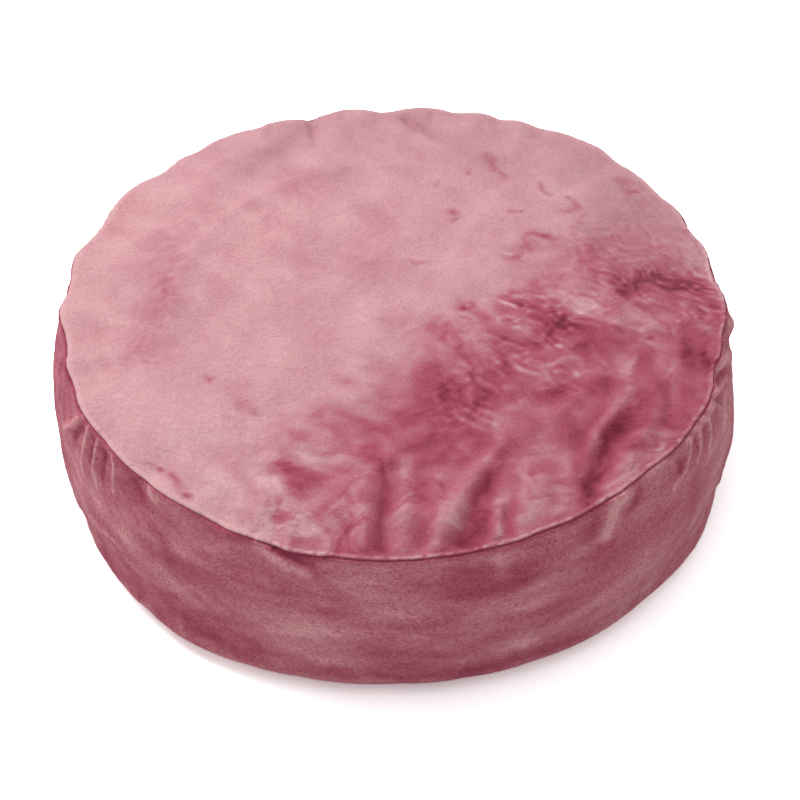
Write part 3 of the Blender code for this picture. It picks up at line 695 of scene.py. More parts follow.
bandNapShading = [    # band, points in degrees and mm, half width, change; strokes along folds and pleats are painted highlights and painted shade
    # painted highlights on the ridges and painted shade in the valleys of the front folds
    ([(248, 186), (249.8, 181), (252, 175), (255.2, 166)], 7, 0.26),
    ([(250.6, 187), (253.6, 185), (257, 178)], 4, -0.22),
    ([(256, 172), (259, 160)], 8, -0.12),
    ([(222, 176), (240, 172)], 12, -0.06),
    ([(283, 182), (292, 174)], 9, 0.16),
    ([(286.1, 176), (286.3, 157)], 8, 0.14),
    ([(296, 182), (300, 160)], 10, 0.06),
    ([(311, 186), (308.4, 182), (306.9, 172), (305.2, 154)], 8, 0.34),
    ([(303.5, 180), (302.5, 162)], 6, -0.12),
    ([(314.6, 180), (312.6, 170), (309.6, 154)], 7, -0.12),
    ([(320, 186), (314.6, 186)], 4, 0.22),
    # painted highlights on the thin pleats at the front right, painted shade between them
    ([(326.4, 186), (327.6, 181), (326.6, 170), (324.7, 158), (321.4, 148)], 3, 0.30),
    ([(329, 186), (330.9, 180), (329.9, 161), (328.4, 149)], 2.6, 0.32),
    ([(331.8, 186), (334, 176), (333.9, 154), (333, 141)], 2.6, 0.32),
    ([(334, 186), (338.8, 172), (341.5, 151)], 3.5, 0.24),
    ([(338.4, 186), (343.7, 169), (349, 151)], 4.5, 0.24),
    ([(346, 186), (352, 166), (358, 142)], 9, 0.20),
    ([(342, 182), (348, 166)], 4, -0.16),
    ([(329.6, 176), (328.6, 156)], 2.6, -0.16),
    ([(332.6, 172), (331.8, 150)], 2.6, -0.16),
    ([(324.3, 166), (323.2, 156)], 5, -0.14),
    ([(327, 124), (329, 106)], 16, -0.10),
    ([(358, 182), (366, 130)], 5, 0.16),
    # painted highlights on the pleats at the far left, painted shade between them
    ([(207.5, 186), (204.6, 166), (200.9, 142), (198, 124)], 3.5, 0.34),
    ([(208, 180), (205.6, 160), (204.4, 138)], 6, -0.22),
    ([(209.6, 185), (209.5, 166), (209.1, 145), (208.2, 120)], 2.6, 0.34),
    ([(211.3, 180), (211.5, 163), (211.2, 139)], 3, -0.20),
    ([(212.8, 185), (212.5, 164), (212.8, 145), (213, 126)], 2.8, 0.34),
    ([(214.6, 181), (214.7, 158), (215.1, 138)], 3, -0.18),
    ([(217.1, 184), (218.1, 174), (218.3, 157), (218, 142)], 3, 0.30),
    ([(222.8, 182), (224.6, 172), (226.2, 163)], 5, -0.16),
    ([(226.8, 186), (228.2, 179), (229.8, 168)], 5, 0.20),
    ([(204.8, 84), (209.1, 66), (217, 66)], 12, 0.16),
    ([(210.3, 71), (216, 76), (220.6, 78)], 3, 0.22),
    ([(229.2, 141), (230.6, 133)], 8, -0.16),
    ([(231.5, 123), (232.5, 117)], 7, -0.20),
    ([(238, 150), (256, 120)], 40, 0.11),
    ([(345, 120), (356, 90)], 40, 0.11),
    ([(272, 62), (290, 58)], 22, 0.14),
    ([(250, 84), (276, 92)], 14, 0.08),
    ([(300, 110), (318, 96)], 24, 0.06),
    ([(316, 60), (334, 66)], 26, 0.10),
    ([(222, 96), (240, 78)], 16, 0.10),
    ([(240, 150), (262, 136)], 16, -0.08),
    ([(262, 172), (282, 164)], 14, -0.06),
    ([(236, 36), (262, 30)], 12, -0.16),
    ([(280, 26), (306, 34)], 12, -0.14),
    ([(284, 140), (304, 132)], 14, -0.08),
    ([(212, 22), (238, 16)], 10, -0.22),
    ([(176, 110), (192, 110)], 60, -0.20),
    ([(340, 100), (372, 100)], 60, 0.05),
]


raggedShare = {"from": 4, "over": 12, "top": 0.6, "band": 0.1}    # by half width, and the least of it


def strokeField(lay, ragged, strokes, onBand):    # thin strokes, painted highlights and shade on the folds, keep to their folds, wide ones are ragged
    total = np.zeros(len(lay))
    least = raggedShare["band" if onBand else "top"]
    for spots, width, change in strokes:
        share = min(max((width - raggedShare["from"]) / raggedShare["over"], least), 1)
        points = lay + (ragged - lay) * share
        route = routeOf(spots, onBand)
        near = nearRoute(points, route, 2.6 * width * mm)
        gap = alongRoute(points[near], route)[0]
        total[near] += change * np.exp(-(gap / (width * mm)) ** 2)
    return total


def warped(points, sizes, seed):    # shifts points about, so that what is painted gets a ragged edge
    moved = points.copy()
    for size, amount in sizes:
        for axis in range(2):
            moved[:, axis] += amount * mm * softNoise(points, size * mm, seed + axis)
        seed += 2
    return moved


# the top: the pile's lie painted as light and shade, pale on the side brushed towards the light and dark on
# the side brushed away
def topNapShading(lay):
    ragged = warped(lay, [(70, 6), (26, 2.5)], 11)
    route = np.array([[x * mm, y * mm] for x, y in napShadingLine])
    best, side = np.full(len(lay), 1e9), np.zeros(len(lay))
    for first, last in zip(route[:-1], route[1:]):
        run = (last - first) / np.linalg.norm(last - first)
        offset = ragged[:, :2] - first
        along = np.clip(offset @ run, 0, np.linalg.norm(last - first))
        away = offset - along[:, None] * run
        gap = np.linalg.norm(away, axis=1)
        nearer = gap < best
        best = np.where(nearer, gap, best)
        side = np.where(nearer, np.sign(run[0] * offset[:, 1] - run[1] * offset[:, 0]), side)
    away = best * side
    away += napShading["ragged"] * mm * softNoise(lay, 62 * mm, 21) * smoothStep(-0.32, -0.05, lay[:, 1])
    level, size, seed = mottling["edgeRagged"]
    away += level * softNoise(lay * [0.7, 1.4, 1], size, seed)
    blend = smoothStep(-napShading["soft"] * mm, napShading["soft"] * mm, away)
    amount = napShading["dark"] + (napShading["light"] - napShading["dark"]) * blend
    dark = 1 - smoothStep(-10 * mm, 30 * mm, away)
    for share, part in ((dark, "dark"), (1 - dark, "light")):
        wide, fine = [level * softNoise(where, size, seed)
                      for where, (level, size, seed) in zip((lay, ragged), mottling[part])]
        amount += share * (wide + fine)
    edgeZone = np.exp(-((away + 25 * mm) / (55 * mm)) ** 2) * smoothStep(20 * mm, 90 * mm, lay[:, 0])
    heading = np.stack([lay[:, 0] * 0.75 - lay[:, 1] * 0.66, (lay[:, 0] * 0.66 + lay[:, 1] * 0.75) * 2.6], 1)
    bend, size, seed = mottling["streakBend"]
    streaks = softNoise(heading + bend * softNoise(lay, size, seed)[:, None], *mottling["streaks"])
    amount += edgeZone * (0.16 * np.maximum(streaks - 0.35, 0) - 0.10 * np.maximum(-streaks - 0.35, 0))
    level, size, seed = mottling["fleck"]
    patchy = np.clip(1 + level * softNoise(ragged, size, seed), 0.2, 1.8)
    return amount + strokeField(lay, ragged, napShadingStrokes, False) * patchy


def bandNapShadingField(lay):
    angle = np.arctan2(lay[:, 1], lay[:, 0])
    unrolled = np.stack([np.cos(angle) * 0.35, np.sin(angle) * 0.35, lay[:, 2]], 1)
    ragged = warped(lay, [(40, 5), (14, 3)], 31)
    # the band starts below the top's light side: painted shade on the upright band
    amount = np.full(len(lay), napShading["band"])
    for level, size, seed, squeeze in mottling["band"]:
        amount += level * softNoise(unrolled * [0.5, 0.5, squeeze], size, seed)
    level, size, seed = mottling["bandFine"]
    amount += level * softNoise(unrolled, size, seed)
    return amount + strokeField(lay, ragged, bandNapShading, True)


def napShadingField(lay, onTop):
    amount = topNapShading(lay) if onTop else bandNapShadingField(lay)
    topGap, bottomGap = seamGap(lay, cover["topSeam"]), seamGap(lay, cover["bottomSeam"])
    fold = foldField(lay)
    if onTop:
        # painted highlight along the rounded lip of the top panel beside its seam
        lipHighlight = 0.7 + 0.3 * softNoise(lay, 7 * mm, 42)
        nearRim = np.exp(-((topGap - seamAndFoldShading["lipHighlightAt"]) / seamAndFoldShading["lipHighlightReach"]) ** 2)
        amount += seamAndFoldShading["lipHighlight"] * lipHighlight * nearRim
        # painted shade in fold valleys and painted highlights on fold ridges, from each fold's height
        amount += seamAndFoldShading["foldShading"] * fold * np.where(amount > 0.7, 0.4, 1)
    else:
        # painted shade on the band just below the overhanging edge of the top panel
        amount -= seamAndFoldShading["shadeUnderLip"] * np.exp(-((topGap - 3 * mm) / (4 * mm)) ** 2)
        amount += seamAndFoldShading["base"] * np.exp(-((bottomGap - 4 * mm) / (4 * mm)) ** 2)
        # painted shade and highlights on the band's folds, from each fold's height
        amount += seamAndFoldShading["bandFoldShading"] * fold
    # painted shade down the middle of both round seams
    seamGrooveShade = np.exp(-(np.minimum(topGap, bottomGap) / seamAndFoldShading["grooveShadeReach"]) ** 2)
    amount -= seamAndFoldShading["dark"] * seamGrooveShade
    return np.clip(amount, 0, 1)


def coolField(lay, onTop):    # greyer pile: the back of the top and the middle tone at the right, and painted shade along two creases at the back
    x, y = lay[:, 0] / mm, lay[:, 1] / mm
    ragged = 18 * softNoise(lay, 60 * mm, 41)
    back = 0.55 * smoothStep(120, 330, y + 0.15 * x + ragged)
    right = 0.6 * np.exp(-(((x - 245 + ragged) / 70) ** 2 + ((y - 118) / 70) ** 2))
    left = 0.4 * np.exp(-(((x + 235) / 30) ** 2 + ((y - 10) / 90) ** 2))
    creaseRoute = routeOf([(-95, 318), (-120, 262), (-160, 215), (-190, 190)])
    valleyRoute = routeOf([(8, 325), (34, 296), (62, 266), (90, 230)])
    # painted shade, greyer and darker, down the two creases at the back of the top
    crease = 0.5 * np.exp(-(alongRoute(lay, creaseRoute)[0] / (14 * mm)) ** 2)
    valley = 0.35 * np.exp(-(alongRoute(lay, valleyRoute)[0] / (14 * mm)) ** 2)
    return np.clip(back + right + left + crease + valley, 0, 1) if onTop else np.zeros(len(lay))


# cover, split into its cut panels, with the seam allowances turned in

panelNames = {
    0: ("plush_top_panel", "cover_top_panel"),
    1: ("plush_band_front", "cover_band_front"),
    2: ("plush_band_rear_upper", "cover_band_rear_upper"),
    3: ("plush_band_rear_lower", "cover_band_rear_lower"),
    4: ("plush_bottom_panel", "cover_bottom_panel"),
}
allowance = {"depth": 8 * mm, "apart": 0.08 * mm, "rings": 3, "zipDepth": 2.4 * mm, "napShading": 0.08}


def panelMesh(name, points, lay, quads, onTop):
    used, local = np.unique(quads, return_inverse=True)
    points, lay = points[used], lay[used]
    mesh = makeMesh(name, points, local.reshape(quads.shape))
    markPoints(mesh, {"lay": lay, "napShading": napShadingField(lay, onTop), "cool": coolField(lay, onTop)})
    sheet = bmesh.new()
    sheet.from_mesh(mesh)
    sheet.verts.ensure_lookup_table()
    edges = [edge for edge in sheet.edges if edge.is_boundary]
    radius = np.maximum(np.hypot(lay[:, 0], lay[:, 1]), 1e-9)
    out = outward(lay, np.stack([lay[:, 0], lay[:, 1], 0 * lay[:, 0]], 1) / radius[:, None])
    inward = {vert.index: -Vector(out[vert.index]) for edge in edges for vert in edge.verts}
    heading = {}
    for vert in sheet.verts:    # a little way into its own panel, so that neighbours' allowances stay apart
        if vert.is_boundary:
            inner = [edge.other_vert(vert).co for edge in vert.link_edges if not edge.is_boundary]
            ahead = sum((place - vert.co for place in inner), Vector())
            heading[vert.index] = ahead.normalized() if ahead.length else Vector()
    moving = {vert: vert.index for edge in edges for vert in edge.verts}
    halfSlot = (cover["slot"][1] - cover["slot"][0]) / 2 + 1e-5
    byZip = (np.abs(lay[:, 2] - zipHeight) < halfSlot) & (zipZone(lay) > 0.9)
    depth = np.where(byZip, allowance["zipDepth"], allowance["depth"]) / allowance["rings"]
    napShadingMark = sheet.verts.layers.float["napShading"]
    for ring in range(allowance["rings"]):
        result = bmesh.ops.extrude_edge_only(sheet, edges=edges)["geom"]
        fresh = [item for item in result if isinstance(item, bmesh.types.BMVert)]
        edges = [item for item in result if isinstance(item, bmesh.types.BMEdge) and item.is_boundary]
        partner = {}
        for vert in fresh:
            for edge in vert.link_edges:
                other = edge.other_vert(vert)
                if other in moving:
                    partner[vert] = moving[other]
        for vert, source in partner.items():
            aside = allowance["apart"] * (1 if ring == 0 else 0.3)
            vert.co += inward[source] * depth[source] + heading[source] * aside
            # the turned-in seam allowance is painted dark: painted shade inside the seam
            vert[napShadingMark] = allowance["napShading"]
        moving = partner
    sheet.normal_update()
    sheet.to_mesh(mesh)
    sheet.free()
    mesh.polygons.foreach_set("use_smooth", np.ones(len(mesh.polygons), bool))
    mesh.update()
    return meshObject(name, mesh)


print("cover: cutting and sewing")
points, quads, panels = blankCover()
blank = meshObject("blank", makeMesh("blank", points, quads))
markPoints(blank.data, {"lay": points})
blank.data.polygons.foreach_set("material_index", panels)
for number in range(6):
    blank.data.materials.append(None)
edgeEnds = np.zeros(len(blank.data.edges) * 2, int)
blank.data.edges.foreach_get("vertices", edgeEnds)
edgeEnds = edgeEnds.reshape(-1, 2)
onSeam = np.zeros(len(points), bool)
for seam in (cover["topSeam"], cover["bottomSeam"]):
    onSeam |= seamGap(points, seam) < 0.01 * mm
creases = blank.data.attributes.new("crease_edge", "FLOAT", "EDGE")
creases.data.foreach_set("value", np.where(onSeam[edgeEnds].all(1), 0.9, 0.0))
writePoints(blank.data, spreadOutline(points))
print("cover: filling")
writePoints(blank.data, fillCover(blank, points))

print("cover: folds and seams")
fine = subdivided(blank)
lay, normals = readVectors(fine, "lay"), readNormals(fine)
finePanels = np.zeros(len(fine.polygons), int)
fine.polygons.foreach_get("material_index", finePanels)
fineQuads = np.zeros(len(fine.polygons) * 4, int)
fine.polygons.foreach_get("vertices", fineQuads)
fineQuads = fineQuads.reshape(-1, 4)
shaped = sculpt(readPoints(fine), normals, lay)
coverPieces = {}
for panel, (name, node) in panelNames.items():
    coverPieces[panel] = panelMesh(name, shaped, lay, fineQuads[finePanels == panel], panel == 0)
    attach(coverPieces[panel], body)
    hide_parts(node)


# inner pad, liner and filling inside the cover

print("inner pad")
innerPad = {"linerDepth": 6.4 * mm, "fillingDepth": 8.8 * mm}


def innerSkin(name, depth, keep, *nodes):
    inside = readPoints(blank.data) - outward(points, readNormals(blank.data)) * depth
    inside += outward(points, readNormals(blank.data)) * np.minimum(foldField(points), 0)[:, None]
    inside[:, 2] = np.maximum(inside[:, 2], depth * 0.6)
    chosen, local = np.unique(quads[np.isin(panels, keep)], return_inverse=True)
    mesh = makeMesh(name, inside[chosen], local.reshape(-1, 4))
    markPoints(mesh, {"lay": points[chosen]})
    piece = meshObject(name, mesh)
    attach(piece, body)
    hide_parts(*nodes)
    return piece


linerPieces = [
    innerSkin("liner_top", innerPad["linerDepth"], [0], "liner_top_panel", "liner_top_seam_thread"),
    innerSkin("liner_band", innerPad["linerDepth"], [1, 2, 3, 5], "liner_side_band", "liner_closing_thread"),
    innerSkin("liner_bottom", innerPad["linerDepth"], [4], "liner_bottom_panel", "liner_bottom_seam_thread"),
]
filling = innerSkin("filling", innerPad["fillingDepth"], [0, 1, 2, 3, 4, 5], "fibre_filling")
bpy.data.objects.remove(blank)
bpy.data.meshes.remove(fine)


# thread, at the seams and the zip

def stitchRun(name, route, length, radius, gap, out, closed=False, sides=6):
    # a row of stitches along a route: each one bows out in the middle and dips into the cloth at its ends
    route = np.vstack([route, route[:1]]) if closed else np.asarray(route)
    along = np.concatenate([[0], np.cumsum(np.linalg.norm(np.diff(route, axis=0), axis=1))])
    out = np.vstack([out, out[:1]]) if closed else np.asarray(out)
    count = max(1, int(along[-1] / (length + gap)))
    pitch = along[-1] / count
    points, faces = [], []
    stops = np.linspace(0, 1, 5)
    for number in range(count):
        places = number * pitch + gap / 2 + stops * (pitch - gap)
        line = np.stack([np.interp(places, along, route[:, axis]) for axis in range(3)], 1)
        side = np.stack([np.interp(places, along, out[:, axis]) for axis in range(3)], 1)
        side /= np.linalg.norm(side, axis=1)[:, None]
        line += side * (np.sin(stops * math.pi) * radius * 1.2 - radius * 0.6)[:, None]
        run = np.gradient(line, axis=0)
        run /= np.linalg.norm(run, axis=1)[:, None]
        across = np.cross(run, side)
        first = len(points)
        for spot, (centre, one, two) in enumerate(zip(line, side, across)):
            thick = radius * (0.55 if spot in (0, len(stops) - 1) else 1.0)
            for turn in range(sides):
                angle = 2 * math.pi * turn / sides
                points.append(centre + thick * (one * math.cos(angle) + two * math.sin(angle)))
        for spot in range(len(stops) - 1):
            for turn in range(sides):
                low, high = first + spot * sides, first + (spot + 1) * sides
                faces.append((low + turn, low + (turn + 1) % sides, high + (turn + 1) % sides, high + turn))
        faces.append(tuple(first + turn for turn in reversed(range(sides))))
        faces.append(tuple(first + (len(stops) - 1) * sides + turn for turn in range(sides)))
    return meshObject(name, makeMesh(name, np.array(points), faces))


def seamRoute(seam, depth):    # the sewn seam as it lies after filling, and which way is out
    spots = np.where(seamGap(lay, seam) < 0.05 * mm)[0]
    spots = spots[np.argsort(np.arctan2(lay[spots, 1], lay[spots, 0]))]
    out = outward(lay[spots], lay[spots] / np.linalg.norm(lay[spots], axis=1)[:, None])
    return shaped[spots] - out * depth, out


def uprightRoute(end, depth):
    turn = math.radians(end)
    heights = np.linspace(cover["bottomSeam"][1] + 6 * mm, cover["topSeam"][1] - 6 * mm, 60)
    spoke = np.array([math.cos(turn), math.sin(turn), 0])
    route = np.array([coverSurface(end, height) - spoke * depth for height in heights])
    return route, np.tile(spoke, (len(heights), 1))


def coverSurface(angle, height):    # where the filled cover is, at an angle in degrees and a height
    turn = math.radians(angle)
    radius = float(bandRadius(height))
    spot = coverTree.find((radius * math.cos(turn), radius * math.sin(turn), height))[1]
    there = shaped[spot]
    return np.array([math.cos(turn), math.sin(turn), 0]) * math.hypot(there[0], there[1]) + [0, 0, height]


thread = {
    "seamLength": 3.2 * mm, "seamRadius": 0.4 * mm, "seamDepth": 3.0 * mm,
    "gap": 0.5 * mm,
    "zipLength": 3.0 * mm, "zipRadius": 0.36 * mm, "zipSink": 0.15 * mm,
    "tackWraps": 9, "tackWide": 2 * mm, "tackLean": 0.12 * mm, "tackRadius": 0.16 * mm,
    "tackGap": 0.0001 * mm,
}


def addThreads():
    made = []
    seamStitch = thread["seamLength"], thread["seamRadius"], thread["gap"]
    for name, seam, node in (("thread_top_seam", cover["topSeam"], "cover_top_seam_thread"),
                             ("thread_bottom_seam", cover["bottomSeam"], "cover_bottom_seam_thread")):
        route, out = seamRoute(seam, thread["seamDepth"])
        made.append((stitchRun(name, route, *seamStitch, out, True), node))
    for name, end, node in (("thread_join_right", cover["zipEnds"][0], "band_join_thread_right"),
                            ("thread_join_left", cover["zipEnds"][1], "band_join_thread_left")):
        route, out = uprightRoute(end, thread["seamDepth"])
        made.append((stitchRun(name, route, *seamStitch, out), node))
    for name, node in (("thread_zip_upper", "zip_stitch_upper"), ("thread_zip_lower", "zip_stitch_lower")):
        low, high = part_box(node)
        height = (low.z + high.z) / 2
        ends = [end + side * 0.8 for end, side in zip(cover["zipEnds"], (1, -1))]
        turns = np.radians(np.linspace(*ends, 300))
        out = np.stack([np.cos(turns), np.sin(turns), 0 * turns], 1)
        route = out * (float(bandRadius(height)) - thread["zipSink"]) + [0, 0, height]
        stitches = stitchRun(name, route, thread["zipLength"], thread["zipRadius"], thread["gap"], out)
        made.append((stitches, node))
    for name, node in (("tack_closed", "zip_bar_tack_closed"), ("tack_open", "zip_bar_tack_open")):
        low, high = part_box(node)
        middle = (low + high) / 2
        spoke = Vector((middle.x, middle.y, 0)).normalized()
        aside = Vector((-spoke.y, spoke.x, 0))
        wraps = []
        for wrap in range(thread["tackWraps"]):
            shift = (wrap / (thread["tackWraps"] - 1) - 0.5) * thread["tackWide"]
            lean = thread["tackLean"] * (-1) ** wrap
            wraps += [middle + aside * (shift - lean) + Vector((0, 0, (high.z - low.z) / 2)),
                      middle + aside * (shift + lean) - Vector((0, 0, (high.z - low.z) / 2))]
        route = np.array([list(spot) for spot in wraps])
        out = np.tile(list(spoke), (len(route), 1))
        stitches = stitchRun(name, route, high.z - low.z, thread["tackRadius"], thread["tackGap"], out)
        made.append((stitches, node))
    for piece, node in made:
        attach(piece, body)
        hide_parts(node)
    return [piece for piece, node in made]


# zip

zipper = {
    "pitch": 1.3 * mm,
    "wire": 0.27 * mm,
    "reach": (0.66 * mm, 1.02 * mm),    # coil's half height out from the cushion, and along +Z
    "perTurn": 8,
    "wireSides": 5,
    "endGap": 1.2,                      # degrees short of the upright seams
    "bevel": 0.22 * mm,
}


def coilRow(name, node):
    low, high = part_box(node)
    height = (low.z + high.z) / 2
    radius = high.y - 1.0 * mm
    ends = [math.radians(end + side * zipper["endGap"]) for end, side in zip(cover["zipEnds"], (1, -1))]
    turns = int((ends[1] - ends[0]) * radius / zipper["pitch"])
    steps = turns * zipper["perTurn"] + 1
    along = np.linspace(ends[0], ends[1], steps)
    phase = np.linspace(0, 2 * math.pi * turns, steps)
    if node.endswith("upper"):
        phase = math.pi - phase
    spoke = np.stack([np.cos(along), np.sin(along), 0 * along], 1)
    deep, tall = zipper["reach"]
    line = spoke * (radius + deep * np.sin(phase))[:, None]
    line[:, 2] = height + tall * np.cos(phase)
    run = np.gradient(line, axis=0)
    run /= np.linalg.norm(run, axis=1)[:, None]
    one = np.cross(run, spoke)
    one /= np.linalg.norm(one, axis=1)[:, None]
    two = np.cross(run, one)
    sides = zipper["wireSides"]
    angle = 2 * math.pi * np.arange(sides) / sides
    rings = line[:, None] + zipper["wire"] * (one[:, None] * np.cos(angle)[None, :, None]
                                              + two[:, None] * np.sin(angle)[None, :, None])
    points = rings.reshape(-1, 3)
    start = np.arange(steps - 1)[:, None] * sides
    turn = np.arange(sides)[None]
    following = (turn + 1) % sides
    faces = np.stack([start + turn, start + sides + turn, start + sides + following, start + following], -1)
    faces = faces.reshape(-1, 4).tolist()
    faces.append(list(range(sides)))
    faces.append(list(range((steps - 1) * sides, steps * sides))[::-1])
    piece = meshObject(name, makeMesh(name, points, faces))
    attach(piece, body)
    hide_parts(node)
    return piece


def softened(name, node, rideOn):    # a metal piece with its edges rolled over
    piece = meshObject(name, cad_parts[node].data.copy())
    shape = bmesh.new()
    shape.from_mesh(piece.data)
    bmesh.ops.remove_doubles(shape, verts=shape.verts, dist=0.00002)
    bmesh.ops.dissolve_limit(shape, angle_limit=math.radians(3), verts=shape.verts, edges=shape.edges)
    sharp = [edge for edge in shape.edges if edge.is_manifold and edge.calc_face_angle(0) > math.radians(35)]
    bmesh.ops.bevel(shape, geom=sharp, offset=zipper["bevel"], segments=2, profile=0.6, affect="EDGES",
                    clamp_overlap=True)
    shape.to_mesh(piece.data)
    shape.free()
    piece.data.polygons.foreach_set("use_smooth", np.ones(len(piece.data.polygons), bool))
    piece.data.set_sharp_from_angle(angle=math.radians(40))
    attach(piece, rideOn)
    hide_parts(node)
    return piece


label = {"size": (40 * mm, 25 * mm), "rows": (28, 16), "clear": 1.6 * mm, "lift": 3.5 * mm, "curl": 0.9 * mm,
         "tucked": 4 * mm, "tuckDepth": 3.0 * mm, "ripple": 0.35 * mm, "sway": 0.5 * mm, "thick": 0.35 * mm}


def careLabel():
    low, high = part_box("care_label")
    middle = (low.z + high.z) / 2
    long, wide = label["size"]
    columns, rows = label["rows"]
    points, lie = [], []
    for column in range(columns + 1):
        share = column / columns
        reach = share * long - label["tucked"]
        angle = cover["zipEnds"][0] + math.degrees(reach / cover["widest"])
        for row in range(rows + 1):
            height = middle + (row / rows - 0.5) * wide
            spoke = np.array([math.cos(math.radians(angle)), math.sin(math.radians(angle))])
            out = label["clear"] * float(smoothStep(-3 * mm, 3 * mm, reach))
            out -= label["tuckDepth"] * max(0.0, -reach) / label["tucked"]
            out += label["lift"] * share ** 3
            out += label["curl"] * share ** 2 * math.cos(row / rows * 2 * math.pi)
            out += label["ripple"] * math.sin(share * 9 + row * 0.5) * share
            base = coverSurface(max(angle, cover["zipEnds"][0] + 0.6), height)
            x, y = spoke * (math.hypot(base[0], base[1]) + out)
            points.append([x, y, height + label["sway"] * math.sin(share * 4)])
            lie.append([share * long, row / rows * wide, 0])
    corner = [column * (rows + 1) + row for column in range(columns) for row in range(rows)]
    faces = [(first, first + 1, first + rows + 2, first + rows + 1) for first in corner]
    piece = meshObject("care_label_satin", makeMesh("care_label_satin", np.array(points), faces))
    markPoints(piece.data, {"lay": np.array(lie)})
    thick = piece.modifiers.new("cloth", "SOLIDIFY")
    thick.thickness = label["thick"]
    thick.offset = 0
    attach(piece, body)
    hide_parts("care_label")
    return piece


print("zip, thread and label")
coverTree = KDTree(len(shaped))
for spot, place in enumerate(lay):
    coverTree.insert(place, spot)
coverTree.balance()
threadPieces = addThreads()
coilPieces = [coilRow("zip_teeth_upper", "zip_coil_upper"), coilRow("zip_teeth_lower", "zip_coil_lower")]
metalPieces = [softened("slider_body", "zip_slider", "zip_slider"),
               softened("slider_pull", "zip_pull", "zip_pull")]
labelPiece = careLabel()
tapePieces = [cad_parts["zip_tape_upper"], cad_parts["zip_tape_lower"]]


# materials

def addNode(tree, kind, place, inputs=None, **values):
    node = tree.nodes.new(kind)
    node.location = place
    for key, value in values.items():
        setattr(node, key, value)
    for key, value in (inputs or {}).items():
        node.inputs[key].default_value = value
    return node


def newGroup(name, inputs, outputs):
    group = bpy.data.node_groups.new(name, "ShaderNodeTree")
    for label, kind, value in inputs:
        socket = group.interface.new_socket(label, in_out="INPUT", socket_type=kind)
        if value is not None:
            socket.default_value = value
    for label, kind in outputs:
        group.interface.new_socket(label, in_out="OUTPUT", socket_type=kind)
    return group, addNode(group, "NodeGroupInput", (-900, 0)), addNode(group, "NodeGroupOutput", (900, 0))


def linkAll(tree, *pairs):
    for source, target in pairs:
        tree.links.new(source, target)


def newMaterial(name):
    material = bpy.data.materials.new(name)
    material.use_nodes = True
    material.node_tree.nodes.clear()
    return material, material.node_tree


def linear(tone, strength=1.0):    # a swatch colour, 0 to 255, as the shader wants it
    return tuple(strength * ((c / 255 + 0.055) / 1.055) ** 2.4 for c in tone) + (1.0,)


